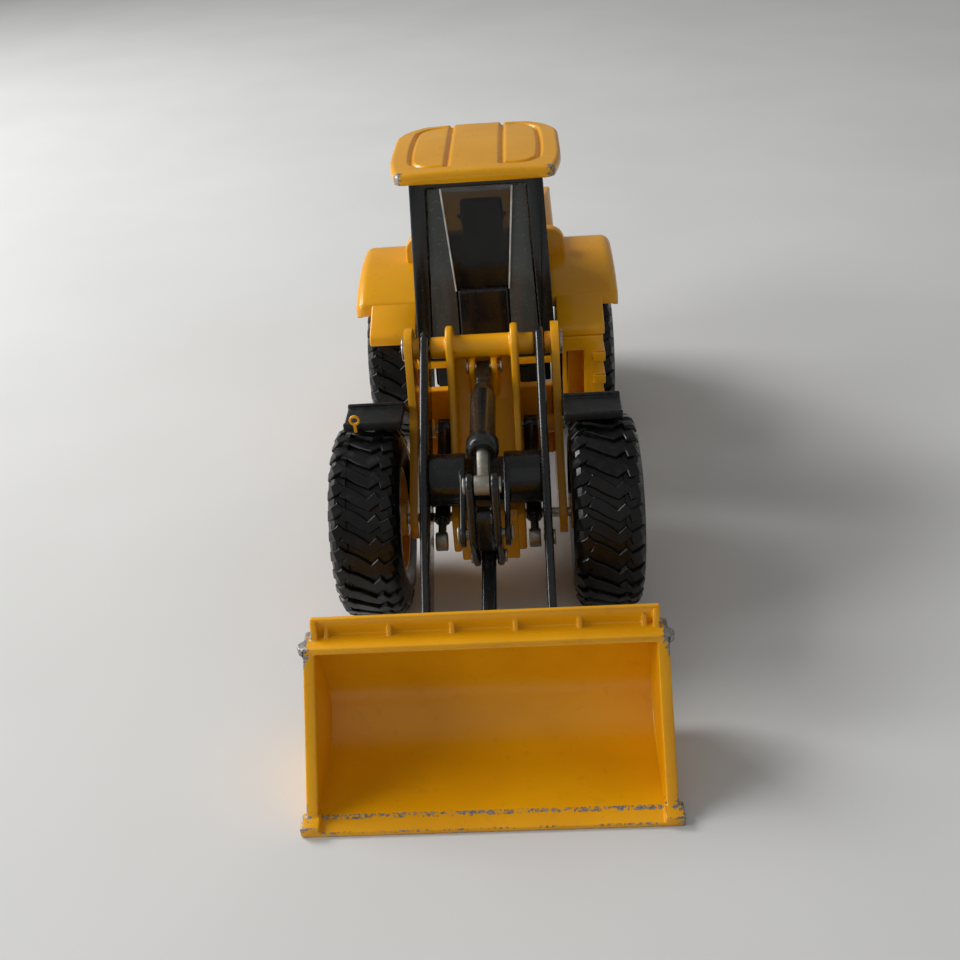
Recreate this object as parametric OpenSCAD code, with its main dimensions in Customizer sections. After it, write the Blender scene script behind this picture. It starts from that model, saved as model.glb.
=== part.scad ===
// Die-cast toy wheel loader with an articulated frame and a Z-bar bucket linkage.
// Millimetres. +X is the machine's left side, the bucket points to -Y and +Z is up.

/* [Overall] */
// Distance between the two axles
wheelbase = 95; // [90:1:114]
// Width of the bucket over its side plates
bucket_w = 80; // [68:1:96]
// How far the bucket lip reaches in front of the front axle
bucket_reach = 84; // [82:0.5:90]
// How far the counterweight reaches behind the rear axle
rear_overhang = 55; // [50:1:66]

/* [Wheels] */
// Tyre radius over the tread
tyre_r = 25; // [21:0.5:25.5]
// Tyre width
tyre_w = 18.3; // [15:0.1:22]
// Radius where the tyre sits on the rim
rim_r = 14.5; // [12:0.5:17]
// Radius of the steel axle rods
axle_r = 1.25; // [1.05:0.05:1.5]
// Gap between a tyre and the nearest plate of the front frame
wheel_gap = 0.7; // [0.5:0.1:2]

/* [Front frame] */
// Half of the room between the two tower plates
tower_half = 7.6; // [7.2:0.1:9.2]
// Thickness of the tower plates
tower_t = 2; // [1.6:0.1:2.4]
// Thickness of the outer cheek plates
cheek_t = 2.1; // [1.7:0.1:2.6]
// Radius of the cross tube at the arm pivot
cross_tube_r = 3.1; // [2.6:0.1:3.2]

/* [Loader linkage] */
// Thickness of a lift arm plate
arm_t = 2.2; // [1.8:0.1:2.7]
// Radius of the torque tube between the arms
torque_tube_r = 6.8; // [5.6:0.1:7]
// Radius of the lift cylinder barrels
lift_barrel_r = 2; // [1.7:0.05:2.05]
// Radius of the tilt cylinder barrel
tilt_barrel_r = 3.3; // [2.8:0.1:3.6]
// Half of the slot between the two bellcrank cheeks
slot_half = 2.1; // [1.9:0.1:2.3]
// Thickness of a bellcrank cheek
bellcrank_t = 1.8; // [1.5:0.1:2]
// Radius of the hinge pins
pin_r = 1.2; // [1:0.05:1.4]

/* [Cab] */
// Width of the cab at its base
cab_w = 41; // [34:0.5:41.5]
// Width of the cab under the roof
cab_top_w = 36.6; // [31:0.5:37.5]
// Height of the cab walls
cab_h = 54; // [46:1:64]
// Widest part of the roof
roof_w = 47.5; // [42:0.5:56]
// Length of the roof
roof_l = 48; // [40:0.5:52]
// Thickness of the cab walls
cab_wall = 1.6; // [1.3:0.1:2]
// Thickness of the glazing
glass_t = 1; // [0.8:0.1:1.3]

/* [Rear body] */
// Width of the engine hood
hood_w = 44; // [42:0.5:56]
// How far the bulkhead behind the cab stands out beyond the hood
bulkhead_out = 3; // [1:0.5:5]
// Height of the hood's upper edge above the ground
hood_top = 70; // [64:1:74]
// Thickness of the cast sheets
sheet_t = 2; // [1.6:0.1:2.4]
// How far the fenders stand out beyond the tyres
fender_proud = 0.7; // [0:0.1:3]

/* [Bucket] */
// Height of the bucket's upper flange above the ground
bucket_h = 31.5; // [29:0.5:36]
// Thickness of the bucket shell
bucket_t = 1.6; // [1.2:0.1:2]
// Thickness of the bucket side plates
bucket_side_t = 2.6; // [2:0.1:3.4]
// Height of the spill guard above the flange
guard_h = 4.2; // [2:0.1:6]

/* [Hidden] */
$fn = 48;
// Radial clearance of a pin or rod in its bore
fit = 0.05;
// Side clearance between plates that turn past each other
side_gap = 0.25;
// Thickness of a rivet head
head_t = 0.7;
// Thickness of the lugs that hold a pin
lug_t = 1.7;

// Side stack of the loader frame, from the middle outwards
tower_out = tower_half + tower_t;
arm_in = tower_out + 2 * side_gap + 2 * lift_barrel_r + 0.1;
arm_out = arm_in + arm_t;
cheek_in = arm_out + 2;
cheek_out = cheek_in + cheek_t;
tyre_in = cheek_out + wheel_gap;
tyre_out = tyre_in + tyre_w;
lift_cyl_x = (tower_out + arm_in) / 2;
bellcrank_out = slot_half + bellcrank_t;
bracket_in = bellcrank_out + head_t + 0.2;
bracket_t = 1.3;
rod_half = slot_half - side_gap - 0.05;

// Places in the side view, as [y, z], with the front axle at y = 0
axle_z = tyre_r;
arm_pivot = [28, 61];
tilt_base = [25.4, 56];
lift_base = [27, 36.8];
torque_tube = [-3, 38.3];
lift_rod_end = [-12, 25.5];
bellcrank_pivot = [-21.6, 34];
bellcrank_top = [-22, 48.2];
bellcrank_low = [-14.6, 22.3];
bucket_pivot = [-43, 8];
bucket_link_end = [-43.8, 14.8];
steer_y = wheelbase / 2;

// Everything is drawn from the front axle and moved so that y = 0 is mid length
mid_y = (wheelbase + rear_overhang - bucket_reach) / 2;

// Cab and hood places, tied to the rear axle
cab_front = wheelbase - 41.5;
cab_rear = wheelbase - 5;
cab_base_z = 44.5;
roof_front = wheelbase - 45;
roof_z = cab_base_z + cab_h;
hood_rear = wheelbase + rear_overhang - 6;
fender_top = 2 * tyre_r + 10;
// Thickness of the wall of the body beside the cab
cab_side_t = sheet_t * 0.6;

// Colours
cast_yellow = "#E3A01B";
gloss_black = "#16191B";
rubber_black = "#0E0F10";
guard_grey = "#33363A";
bare_steel = "#B9B5A8";
clear_glass = "#8C9698";

// ---- helpers ------------------------------------------------------------

// Moves a piece from axle-based places to the part's own origin
module placed() translate([0, -mid_y, 0]) children();

// Draws a [y, z] outline as a plate between two x values
module side_plate(x0, x1) {
    translate([x0, 0, 0]) rotate([90, 0, 90]) linear_extrude(height = x1 - x0) children();
}

// A round bar along x through a [y, z] point
module bar_x(x0, x1, at, r) {
    translate([x0, at[0], at[1]]) rotate([0, 90, 0]) cylinder(h = x1 - x0, r = r);
}

module both_sides() {
    children();
    mirror([1, 0, 0]) children();
}

function polar(at, r, a) = [at[0] + r * cos(a), at[1] + r * sin(a)];
function arc(at, r, a0, a1, n) = [for (i = [0:n]) polar(at, r, a0 + (a1 - a0) * i / n)];
function dist(a, b) = norm([b[0] - a[0], b[1] - a[1]]);
function heading(a, b) = atan2(b[1] - a[1], b[0] - a[0]);
function between(a, b, t) = [a[0] + (b[0] - a[0]) * t, a[1] + (b[1] - a[1]) * t];

// Outline of a strip with round ends of two radii
module strip(a, ra, b, rb) {
    dir = heading(a, b);
    lean = acos((ra - rb) / dist(a, b));
    polygon(concat(arc(a, ra, dir + lean, dir + 360 - lean, 14), arc(b, rb, dir - lean, dir + lean, 14)));
}

// A block whose base and top rectangles differ; each is [x half, y front, y back, z]
module tapered_block(base, top) {
    corners = function (s) [[-s[0], s[1], s[3]], [s[0], s[1], s[3]], [s[0], s[2], s[3]], [-s[0], s[2], s[3]]];
    polyhedron(points = concat(corners(base), corners(top)),
        faces = [[0, 1, 2, 3], [7, 6, 5, 4], [0, 4, 5, 1], [1, 5, 6, 2], [2, 6, 7, 3], [3, 7, 4, 0]]);
}

// A pin along x with a flat rivet head on each end
module riveted_pin(x0, x1, at, r, head_r) {
    bar_x(x0 - head_t, x1 + head_t, at, r);
    bar_x(x0 - head_t, x0, at, head_r);
    bar_x(x1, x1 + head_t, at, head_r);
}

// ---- front chassis ------------------------------------------------------

tower_top_r = cross_tube_r + 2.6;
tower_foot_z = 17;

module tower_outline() {
    polygon(concat(arc(arm_pivot, tower_top_r, -8, 175, 16),
        [[19.5, 50], [16, 42], [9, 34.5], [4.5, 30.4], [-1.5, 29.6], [-4.8, 27.4], [-5.4, tower_foot_z],
         [33, tower_foot_z], [37, 24], [37, 46]]));
}

// Curved wall between the tower plates that ends in the floor
module back_wall_outline() {
    sweep_r = 18;
    sweep_at = [arm_pivot[0] - sweep_r, 52];
    polygon(concat(arc(sweep_at, sweep_r, -90, 0, 12), [[arm_pivot[0] + 1.2, arm_pivot[1]]],
        [[arm_pivot[0] + 3.4, arm_pivot[1]]], arc(sweep_at, sweep_r + sheet_t, 0, -90, 12)));
}

module front_frame() color(cast_yellow) placed() {
    steer_plate_r = 7;
    difference() {
        union() {
            both_sides() side_plate(tower_half, tower_out) tower_outline();
            side_plate(-tower_half, tower_half) back_wall_outline();
            bar_x(-tower_half, tower_half, arm_pivot, cross_tube_r);
            both_sides() bar_x(tower_out, arm_in - side_gap, arm_pivot, 2.9);
            // lugs that hold the tilt cylinder
            both_sides() side_plate(slot_half, slot_half + lug_t) {
                strip(tilt_base, 2.6, [28.6, 50], 2.6);
                strip([28.6, 50], 2.6, [28.4, 44], 1);
            }
            // cross web behind the arms
            translate([-cheek_in, 32, 24]) cube([2 * cheek_in, 3, 22]);
            // lower floor and the two steering plates
            translate([-tower_half, 6, 19]) cube([2 * tower_half, 31, 3]);
            for (z = [14.5, 32.8]) {
                translate([-6, 33, z]) cube([12, steer_y - 33, 2.8]);
                translate([0, steer_y, z]) cylinder(h = 2.8, r = steer_plate_r);
            }
            translate([-6, 33, 14.5]) cube([12, 4, 21]);
        }
        bar_x(-tower_out - 1, tower_out + 1, lift_base, pin_r + fit);
        both_sides() bar_x(tower_out - 1, arm_in, arm_pivot, pin_r + 0.3);
        bar_x(-6, 6, tilt_base, 1.05);
        translate([0, steer_y, 13]) cylinder(h = 24, r = 2 + fit);
        axle_bore(0);
    }
}

module axle_bore(y) bar_x(-cheek_out - 1, cheek_out + 1, [y, axle_z], axle_r + fit);

module front_axle_block() color(cast_yellow) placed() {
    difference() {
        side_plate(-tower_half, tower_half)
            polygon([[-4.6, 14], [5.8, 14], [5.8, 29], [1, 29], [-3, 28.4], [-4.6, 26]]);
        axle_bore(0);
        screw_holes(front_screw_places, 14);
    }
}

screw_r = 0.9;
screw_head_r = 1.7;

front_screw_places = [[-4, 0.6], [4, 0.6]];
rear_screw_places = [[0, wheelbase - 20], [0, wheelbase + 30]];

module screw_holes(places, z) {
    for (p = places) translate([p[0], p[1], z - 1]) {
        cylinder(h = 6, r = screw_r);
        cylinder(h = 2, r = screw_head_r + 0.2);
    }
}

// Screws that close the underside, as [x, y] places at height z
module base_screws(places, z) {
    for (p = places) translate([p[0], p[1], z]) {
        difference() {
            cylinder(h = 0.9, r = screw_head_r);
            translate([-2, -0.25, -0.1]) cube([4, 0.5, 0.5]);
        }
        cylinder(h = 5, r = screw_r);
    }
}

module front_base_screws() color(bare_steel) placed() base_screws(front_screw_places, 14);

// One axle rod with a peened head at each end
module axle_rod(y) {
    rod_end = tyre_in + hub_out;
    bar_x(-rod_end, rod_end, [y, axle_z], axle_r);
    both_sides() bar_x(rod_end, rod_end + 0.8, [y, axle_z], axle_r + 1);
}

module front_axle() color(bare_steel) placed() axle_rod(0);

module cheek_plate() {
    difference() {
        union() {
            side_plate(cheek_in, cheek_out) {
                strip(arm_pivot, 5.6, [25, 40], 7);
                strip([25, 40], 7, [0, axle_z], 5.4);
                polygon([[22, 46], [37, 46], [37, 24], [30, 19.5], [0, 19.6], [4, 30]]);
            }
            // bosses on the inner side of the plate
            bar_x(arm_out + side_gap, cheek_in, arm_pivot, 2.9);
            bar_x(arm_in + 0.3, cheek_in, lift_base, 2.6);
        }
        bar_x(arm_in, cheek_out + 1, arm_pivot, pin_r);
        bar_x(arm_in, cheek_out + 1, lift_base, pin_r + fit);
        axle_bore(0);
    }
}

module left_cheek_plate() color(cast_yellow) placed() cheek_plate();
module right_cheek_plate() color(cast_yellow) placed() mirror([1, 0, 0]) cheek_plate();

// Outer end of the guards over the front tyres
guard_out = tyre_in + tyre_w * 0.77;

// Shelf-like guard over the inner part of a front tyre
module mudguard() {
    gap = 1.8;
    r_in = tyre_r + gap;
    shelf_z = axle_z + r_in;
    x1 = guard_out;
    side_plate(cheek_out, x1)
        polygon([[0.4, shelf_z], [11, shelf_z - 0.6], [20, shelf_z - 6], [24.2, shelf_z - 11.6],
            [26, shelf_z - 10.8], [21.8, shelf_z - 4.9], [12.6, shelf_z + 1.2], [0.4, shelf_z + 1.6]]);
    // strengthening ribs along the shelf
    for (y = [0.4, 10.5])
        translate([cheek_out, y, shelf_z + 1]) cube([x1 - cheek_out, 1.1, 1.3]);
}

module left_mudguard() color(guard_grey) placed() mudguard();
module right_mudguard() color(guard_grey) placed() mirror([1, 0, 0]) mudguard();

// Small ring on a stem at the outer end of the right guard
module marker_lamp_ring() color(cast_yellow) placed() {
    ring_at = [3.2 - guard_out, 0.1, axle_z + tyre_r + 5.3];
    translate(ring_at) rotate([90, 0, 0]) difference() {
        cylinder(h = 0.6, r = 1.4, center = true);
        cylinder(h = 2, r = 0.8, center = true);
    }
    translate([ring_at[0] - 0.4, ring_at[1] - 0.3, ring_at[2] - 3.4]) cube([0.8, 0.6, 2.2]);
}

module lift_arm_pins() color(bare_steel) placed() both_sides() {
    bar_x(tower_out - 0.9, cheek_out, arm_pivot, pin_r);
    bar_x(cheek_out, cheek_out + 1, arm_pivot, 3.2);
}

module lift_base_pins() color(bare_steel) placed() both_sides() {
    bar_x(tower_half, cheek_out, lift_base, pin_r);
    bar_x(cheek_out, cheek_out + 0.9, lift_base, 2);
    bar_x(tower_half - 0.6, tower_half, lift_base, 1.8);
}

module steering_pin() color(bare_steel) placed() translate([0, steer_y, 0]) {
    translate([0, 0, 13.4]) cylinder(h = 22.4, r = 2);
    translate([0, 0, 35.6]) cylinder(h = 1.2, r = 3.4);
    translate([0, 0, 13.3]) cylinder(h = 1.2, r = 3.2);
}

// ---- tilt cylinder ------------------------------------------------------

tilt_len = dist(tilt_base, bellcrank_top);
tilt_gland = 36.5;
tilt_rod_r = 1.8;
tilt_bore_r = 2.3;
gland_l = 5.5;
// Where the rod starts inside the barrel, its stop collar and the sleeve that guides it
tilt_rod_start = 16.5;
tilt_collar_l = 1.5;
tilt_sleeve_start = 21;
tilt_sleeve_l = 6;

// Puts +X of a piece on the line from one [y, z] point towards another
module along(a, b, x = 0) {
    translate([x, a[0], a[1]]) rotate([heading(a, b), 0, 0]) rotate([0, 0, 90]) children();
}

module tilt_base_pin() color(bare_steel) placed() {
    riveted_pin(-slot_half - lug_t - 0.05, slot_half + lug_t + 0.6, tilt_base, 1, 1.9);
}

module tilt_barrel() color(gloss_black) placed() along(tilt_base, bellcrank_top) {
    tongue = slot_half - side_gap - 0.15;
    difference() {
        union() {
            rotate([0, 90, 0]) rotate_extrude()
                polygon([[0, 5], [1.4, 5], [tilt_barrel_r - 0.7, 11], [tilt_barrel_r, 14],
                    [tilt_barrel_r, tilt_gland - gland_l], [tilt_barrel_r + 0.8, tilt_gland - gland_l + 1.4],
                    [tilt_barrel_r + 0.8, tilt_gland - 0.8], [tilt_barrel_r, tilt_gland], [0, tilt_gland]]);
            rotate([90, 0, 0]) translate([0, 0, -tongue]) linear_extrude(height = 2 * tongue)
                strip([0, 0], 1.6, [6.5, 0], 1.5);
        }
        rotate([90, 0, 0]) cylinder(h = 10, r = 1 + fit, center = true);
        // bore for the piston, closed by the narrower gland
        translate([9.2, 0, 0]) rotate([0, 90, 0]) cylinder(h = tilt_gland - 9.2 - 3, r = tilt_bore_r);
        translate([9.2, 0, 0]) rotate([0, 90, 0]) cylinder(h = tilt_gland, r = tilt_rod_r + fit);
    }
}

// A bar along the tilt cylinder's own line
module tilt_bar(x, l, r) translate([x, 0, 0]) rotate([0, 90, 0]) cylinder(h = l, r = r);

module tilt_sleeve() color(bare_steel) placed() along(tilt_base, bellcrank_top) difference() {
    tilt_bar(tilt_sleeve_start, tilt_sleeve_l, tilt_bore_r - fit);
    tilt_bar(tilt_sleeve_start - 1, tilt_sleeve_l + 2, tilt_rod_r + fit);
}

module tilt_rod() color(bare_steel) placed() along(tilt_base, bellcrank_top) {
    tilt_bar(tilt_rod_start, tilt_len - tilt_rod_start, tilt_rod_r);
    tilt_bar(tilt_rod_start, tilt_collar_l, tilt_bore_r - fit);
    translate([tilt_len, 0, 0]) rotate([90, 0, 0]) cylinder(h = 2 * rod_half, r = 2.4, center = true);
}

// ---- lift arms ----------------------------------------------------------

module arm_plate() {
    difference() {
        side_plate(arm_in, arm_out) {
            strip(arm_pivot, 4.4, torque_tube, torque_tube_r + 1.2);
            strip(torque_tube, torque_tube_r + 1.2, bucket_pivot, 3.9);
            strip(torque_tube, torque_tube_r + 1.2, lift_rod_end, 3.4);
            strip(lift_rod_end, 3.4, bucket_pivot, 3.9);
        }
        bar_x(arm_in - 1, arm_out + 1, arm_pivot, pin_r + fit);
        bar_x(arm_in - 1, arm_out + 1, bucket_pivot, pin_r + fit);
        bar_x(arm_in - 1, arm_out + 1, lift_rod_end, 1.1);
    }
}

module left_lift_arm() color(gloss_black) placed() arm_plate();
module right_lift_arm() color(gloss_black) placed() mirror([1, 0, 0]) arm_plate();

module torque_tube() color(gloss_black) placed() {
    difference() {
        union() {
            bar_x(-arm_in, arm_in, torque_tube, torque_tube_r);
            both_sides() side_plate(bracket_in, bracket_in + bracket_t)
                strip([-3.5, 41], 4, bellcrank_pivot, 3.2);
        }
        // room for the tilt cylinder when the arms are up
        translate([-bracket_in, -14, torque_tube[1] + 2.8]) cube([2 * bracket_in, 22, 8]);
        bar_x(-8, 8, bellcrank_pivot, pin_r + fit);
    }
}

module lift_rod_rivets() color(bare_steel) placed() both_sides() {
    bar_x(arm_in - 0.15, arm_out, lift_rod_end, 1.1);
    bar_x(arm_out, arm_out + head_t, lift_rod_end, 2);
}

module bellcrank_pin() color(bare_steel) placed() {
    half = bracket_in + bracket_t;
    riveted_pin(-half - 0.1, half + 0.1, bellcrank_pivot, pin_r, 2.1);
}

module bellcrank() color(gloss_black) placed() {
    difference() {
        union() {
            both_sides() side_plate(slot_half, bellcrank_out) {
                strip(bellcrank_top, 2.9, bellcrank_pivot, 3.7);
                strip(bellcrank_pivot, 3.7, bellcrank_low, 2.6);
            }
            side_plate(-slot_half, slot_half) strip(between(bellcrank_pivot, bellcrank_top, 0.36), 2.6,
                between(bellcrank_pivot, bellcrank_low, 0.22), 3);
        }
        bar_x(-8, 8, bellcrank_pivot, pin_r + fit);
        bar_x(-8, 8, bellcrank_top, 1.1);
        bar_x(-8, 8, bellcrank_low, 1.05);
    }
}

module bellcrank_rivets() color(bare_steel) placed() both_sides() {
    bar_x(slot_half, bellcrank_out, bellcrank_top, 1.1);
    bar_x(bellcrank_out, bellcrank_out + head_t, bellcrank_top, 2);
}

module link_pin() color(bare_steel) placed()
    riveted_pin(-bellcrank_out - 0.05, bellcrank_out + 0.05, bellcrank_low, 1, 1.7);

module bucket_link() color(gloss_black) placed() {
    difference() {
        side_plate(-rod_half, rod_half) strip(bellcrank_low, 2.3, bucket_link_end, 2);
        bar_x(-8, 8, bellcrank_low, 1.05);
    }
}

// ---- lift cylinders -----------------------------------------------------

lift_len = dist(lift_base, lift_rod_end);
lift_gland = 34;
lift_rod_r = 1.05;
lift_rod_l = 35.4;

module lift_barrel() along(lift_base, lift_rod_end, lift_cyl_x) {
    eye_half = lift_barrel_r - 0.2;
    difference() {
        union() {
            rotate([0, 90, 0]) cylinder(h = lift_gland, r = lift_barrel_r);
            rotate([90, 0, 0]) cylinder(h = 2 * eye_half, r = 2.6, center = true);
        }
        rotate([90, 0, 0]) cylinder(h = 10, r = pin_r + fit, center = true);
        translate([4.3, 0, 0]) rotate([0, 90, 0]) cylinder(h = lift_gland - 4.3 - 2, r = 1.5);
        translate([4.3, 0, 0]) rotate([0, 90, 0]) cylinder(h = lift_gland, r = lift_rod_r + fit);
    }
}

module lift_rod() along(lift_base, lift_rod_end, lift_cyl_x) {
    start = lift_len - lift_rod_l;
    translate([start, 0, 0]) rotate([0, 90, 0]) cylinder(h = lift_rod_l, r = lift_rod_r);
    translate([start, 0, 0]) rotate([0, 90, 0]) cylinder(h = 2.5, r = 1.5 - fit);
    translate([lift_len, 0, 0]) rotate([90, 0, 0]) cylinder(h = 3, r = 2.4, center = true);
}

module left_lift_barrel() color(gloss_black) placed() lift_barrel();
module right_lift_barrel() color(gloss_black) placed() mirror([1, 0, 0]) lift_barrel();
module left_lift_rod() color(bare_steel) placed() lift_rod();
module right_lift_rod() color(bare_steel) placed() mirror([1, 0, 0]) lift_rod();

// ---- bucket -------------------------------------------------------------

bucket_back = [-49.8, 14.6];
bucket_curve_r = 13;
bucket_curve = [bucket_back[0] - bucket_t - bucket_curve_r, bucket_t + bucket_curve_r];
flange_front = -59.5;
flange_back = -53.2;
lip_y = -bucket_reach;

// Side view of the room inside the bucket, open to the front
module bucket_room() {
    polygon(concat([[lip_y - 20, bucket_t - 0.4], [lip_y + 4, bucket_t - 0.4], [lip_y + 4.4, bucket_t]],
        arc(bucket_curve, bucket_curve_r, -90, 8, 14), [[flange_back - 1.8, bucket_h - bucket_t]],
        [[flange_front - 20, bucket_h - bucket_t]]));
}

module bucket_side_outline() {
    polygon(concat([[lip_y, 0]], arc(bucket_curve, bucket_curve_r + bucket_t, -90, 8, 14),
        [[flange_back, bucket_h], [flange_front, bucket_h], [flange_front - 0.4, bucket_h - 2.5],
         [lip_y + 3, 2.4], [lip_y, 1.4]]));
}

module bucket_shell_outline() {
    difference() {
        bucket_side_outline();
        bucket_room();
    }
}

// A lug that stands on the back of the bucket and holds one pin
module bucket_lug(x0, x1, at, r) {
    side_plate(x0, x1) strip(at, r, [bucket_back[0] - 0.6, at[1] + 1.5], r);
}

module bucket_lugs() {
    difference() {
        both_sides() {
            bucket_lug(arm_in - side_gap - lug_t, arm_in - side_gap, bucket_pivot, 3.4);
            bucket_lug(arm_out + side_gap, arm_out + side_gap + lug_t, bucket_pivot, 3.4);
            bucket_lug(slot_half, slot_half + lug_t, bucket_link_end, 2.6);
        }
        side_plate(-bucket_w / 2, bucket_w / 2) bucket_room();
    }
}

module bucket() color(cast_yellow) placed() {
    half = bucket_w / 2;
    rib_gap = (bucket_w - 10) / 5;
    difference() {
        union() {
            side_plate(-half, half) bucket_shell_outline();
            both_sides() side_plate(half - bucket_side_t, half) bucket_side_outline();
            // corner blocks at the ends of the lip
            both_sides() translate([half - bucket_side_t - 0.6, lip_y, 0]) cube([bucket_side_t + 1.6, 4.6, 2.6]);
            // rounded ends of the flange
            both_sides() translate([half - 0.4, flange_front + 1.6, bucket_h - 2.2]) cylinder(h = 2.2, r = 1.6);
            // spill guard with its gussets
            translate([-half + 1.6, flange_back - 1.2, bucket_h - 0.5]) cube([bucket_w - 3.2, 1.2, guard_h + 0.5]);
            for (i = [0:5]) side_plate(-half + 4.4 + i * rib_gap, -half + 5.6 + i * rib_gap)
                polygon([[flange_back - 1, bucket_h - 0.2], [flange_back - 2.8, bucket_h - 0.2],
                    [flange_back - 1, bucket_h + guard_h * 0.6]]);
            both_sides() side_plate(half - 3.2, half - 1.6)
                polygon([[flange_back - 0.2, bucket_h - 0.2], [flange_front + 3, bucket_h - 0.2],
                    [flange_back - 1.6, bucket_h + guard_h]]);
            // hinge lugs beside each arm and the two lugs for the link
            bucket_lugs();
        }
        both_sides() bar_x(arm_in - 4, arm_out + 4, bucket_pivot, pin_r + fit);
        bar_x(-6, 6, bucket_link_end, 1);
    }
}

module bucket_pins() color(bare_steel) placed() both_sides()
    riveted_pin(arm_in - side_gap - lug_t - 0.1, arm_out + side_gap + lug_t + 0.1, bucket_pivot, pin_r, 2);

module bucket_link_rivets() color(bare_steel) placed() both_sides() {
    bar_x(slot_half, slot_half + lug_t, bucket_link_end, 1);
    bar_x(slot_half + lug_t, slot_half + lug_t + head_t, bucket_link_end, 1.7);
}

// ---- wheels -------------------------------------------------------------

hub_r = 4.4;
hub_out = 13;
rim_web = 9.5;

// Turns a [radius, x] outline round the axle line
module wheel_turn(y) {
    translate([tyre_in, y, axle_z]) rotate([0, 90, 0]) rotate_extrude($fn = 96) children();
}

module tyre(y) {
    shoulder = 3.4;
    bead = 1.6;
    wheel_turn(y) polygon(concat([[rim_r, bead], [rim_r + 1.5, 0.4], [tyre_r - shoulder - 2, 0]],
        arc([tyre_r - shoulder, shoulder], shoulder, -70, 0, 6),
        arc([tyre_r - shoulder, tyre_w - shoulder], shoulder, 0, 70, 6),
        [[tyre_r - shoulder - 2, tyre_w], [rim_r + 1.5, tyre_w - 0.4], [rim_r, tyre_w - bead]]));
}

module rim(y) {
    lip = 1.6;
    wheel_turn(y) polygon([[axle_r + fit, 0.2], [hub_r, 0.2], [hub_r, rim_web - 2], [rim_r - 3.2, rim_web - 2],
        [rim_r - 1.4, rim_web - 5], [rim_r - 1.4, lip - 0.2], [rim_r, lip], [rim_r, tyre_w - lip],
        [rim_r - 1.3, tyre_w - lip + 0.5], [rim_r - 1.7, tyre_w - lip - 1.5], [rim_r - 3.4, rim_web],
        [hub_r + 1.4, rim_web], [hub_r, hub_out - 0.2], [axle_r + fit, hub_out - 0.2]]);
}

module front_left_tyre() color(rubber_black) placed() tyre(0);
module front_right_tyre() color(rubber_black) placed() mirror([1, 0, 0]) tyre(0);
module rear_left_tyre() color(rubber_black) placed() tyre(wheelbase);
module rear_right_tyre() color(rubber_black) placed() mirror([1, 0, 0]) tyre(wheelbase);
module front_left_rim() color(cast_yellow) placed() rim(0);
module front_right_rim() color(cast_yellow) placed() mirror([1, 0, 0]) rim(0);
module rear_left_rim() color(cast_yellow) placed() rim(wheelbase);
module rear_right_rim() color(cast_yellow) placed() mirror([1, 0, 0]) rim(wheelbase);

// ---- rear chassis -------------------------------------------------------

module rear_frame() color(guard_grey) placed() {
    front = steer_y + 10.5;
    plate_t = 2.8;
    difference() {
        union() {
            difference() {
                translate([-12, front, 17]) cube([24, hood_rear - 8 - front, 22]);
                translate([-9.5, front + 2.5, 22.2]) cube([19, hood_rear - 13 - front, 20]);
            }
            translate([-19, wheelbase - 6, 18.5]) cube([38, 12, 13]);
            // hinge plates between the plates of the front frame
            for (z = [17.5, 29.8]) {
                translate([-5, steer_y, z]) cube([10, 12, plate_t]);
                translate([0, steer_y, z]) cylinder(h = plate_t, r = 6.6);
            }
            // posts that carry the deck of the body
            both_sides() translate([9.5, front + 1, 30]) cube([6, 9, cab_base_z - sheet_t - 30]);
            both_sides() translate([9.5, hood_rear - 40, 30]) cube([2.5, 28, 9]);
        }
        translate([0, steer_y, 13]) cylinder(h = 24, r = 2 + fit);
        axle_bore(wheelbase);
        screw_holes(rear_screw_places, 17);
    }
}

module rear_axle() color(bare_steel) placed() axle_rod(wheelbase);
module rear_base_screws() color(bare_steel) placed() base_screws(rear_screw_places, 17);

// Side view of a fender sheet: shape over the tyre, from the front lip to the rear end
function fender_line(down) = concat(
    [[wheelbase - 23 + down, fender_top - 9.5]], [[wheelbase - 22.6 + down, fender_top - 6 - down * 0.3]],
    arc([wheelbase - 12, fender_top - 12], 12 - down, 138, 92, 6),
    arc([wheelbase + 13, fender_top - 12], 12 - down, 88, 20, 6),
    [[wheelbase + 27.5 - down, fender_top - 19]]);

module fender_sheet() {
    polygon(concat(fender_line(0), [for (i = [len(fender_line(0)) - 1:-1:0]) fender_line(sheet_t)[i]]));
}

// The step beside the cab, in front of the fender
module platform_sheet() {
    y0 = wheelbase - 36.5;
    polygon([[y0, fender_top - 12], [y0 + 0.5, fender_top - 9], [wheelbase - 22, fender_top - 5.4],
        [wheelbase - 20, fender_top - 6.6], [wheelbase - 20, fender_top - 8],
        [y0 + 2.2, fender_top - 11], [y0 + 1.8, fender_top - 12]]);
}

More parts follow.
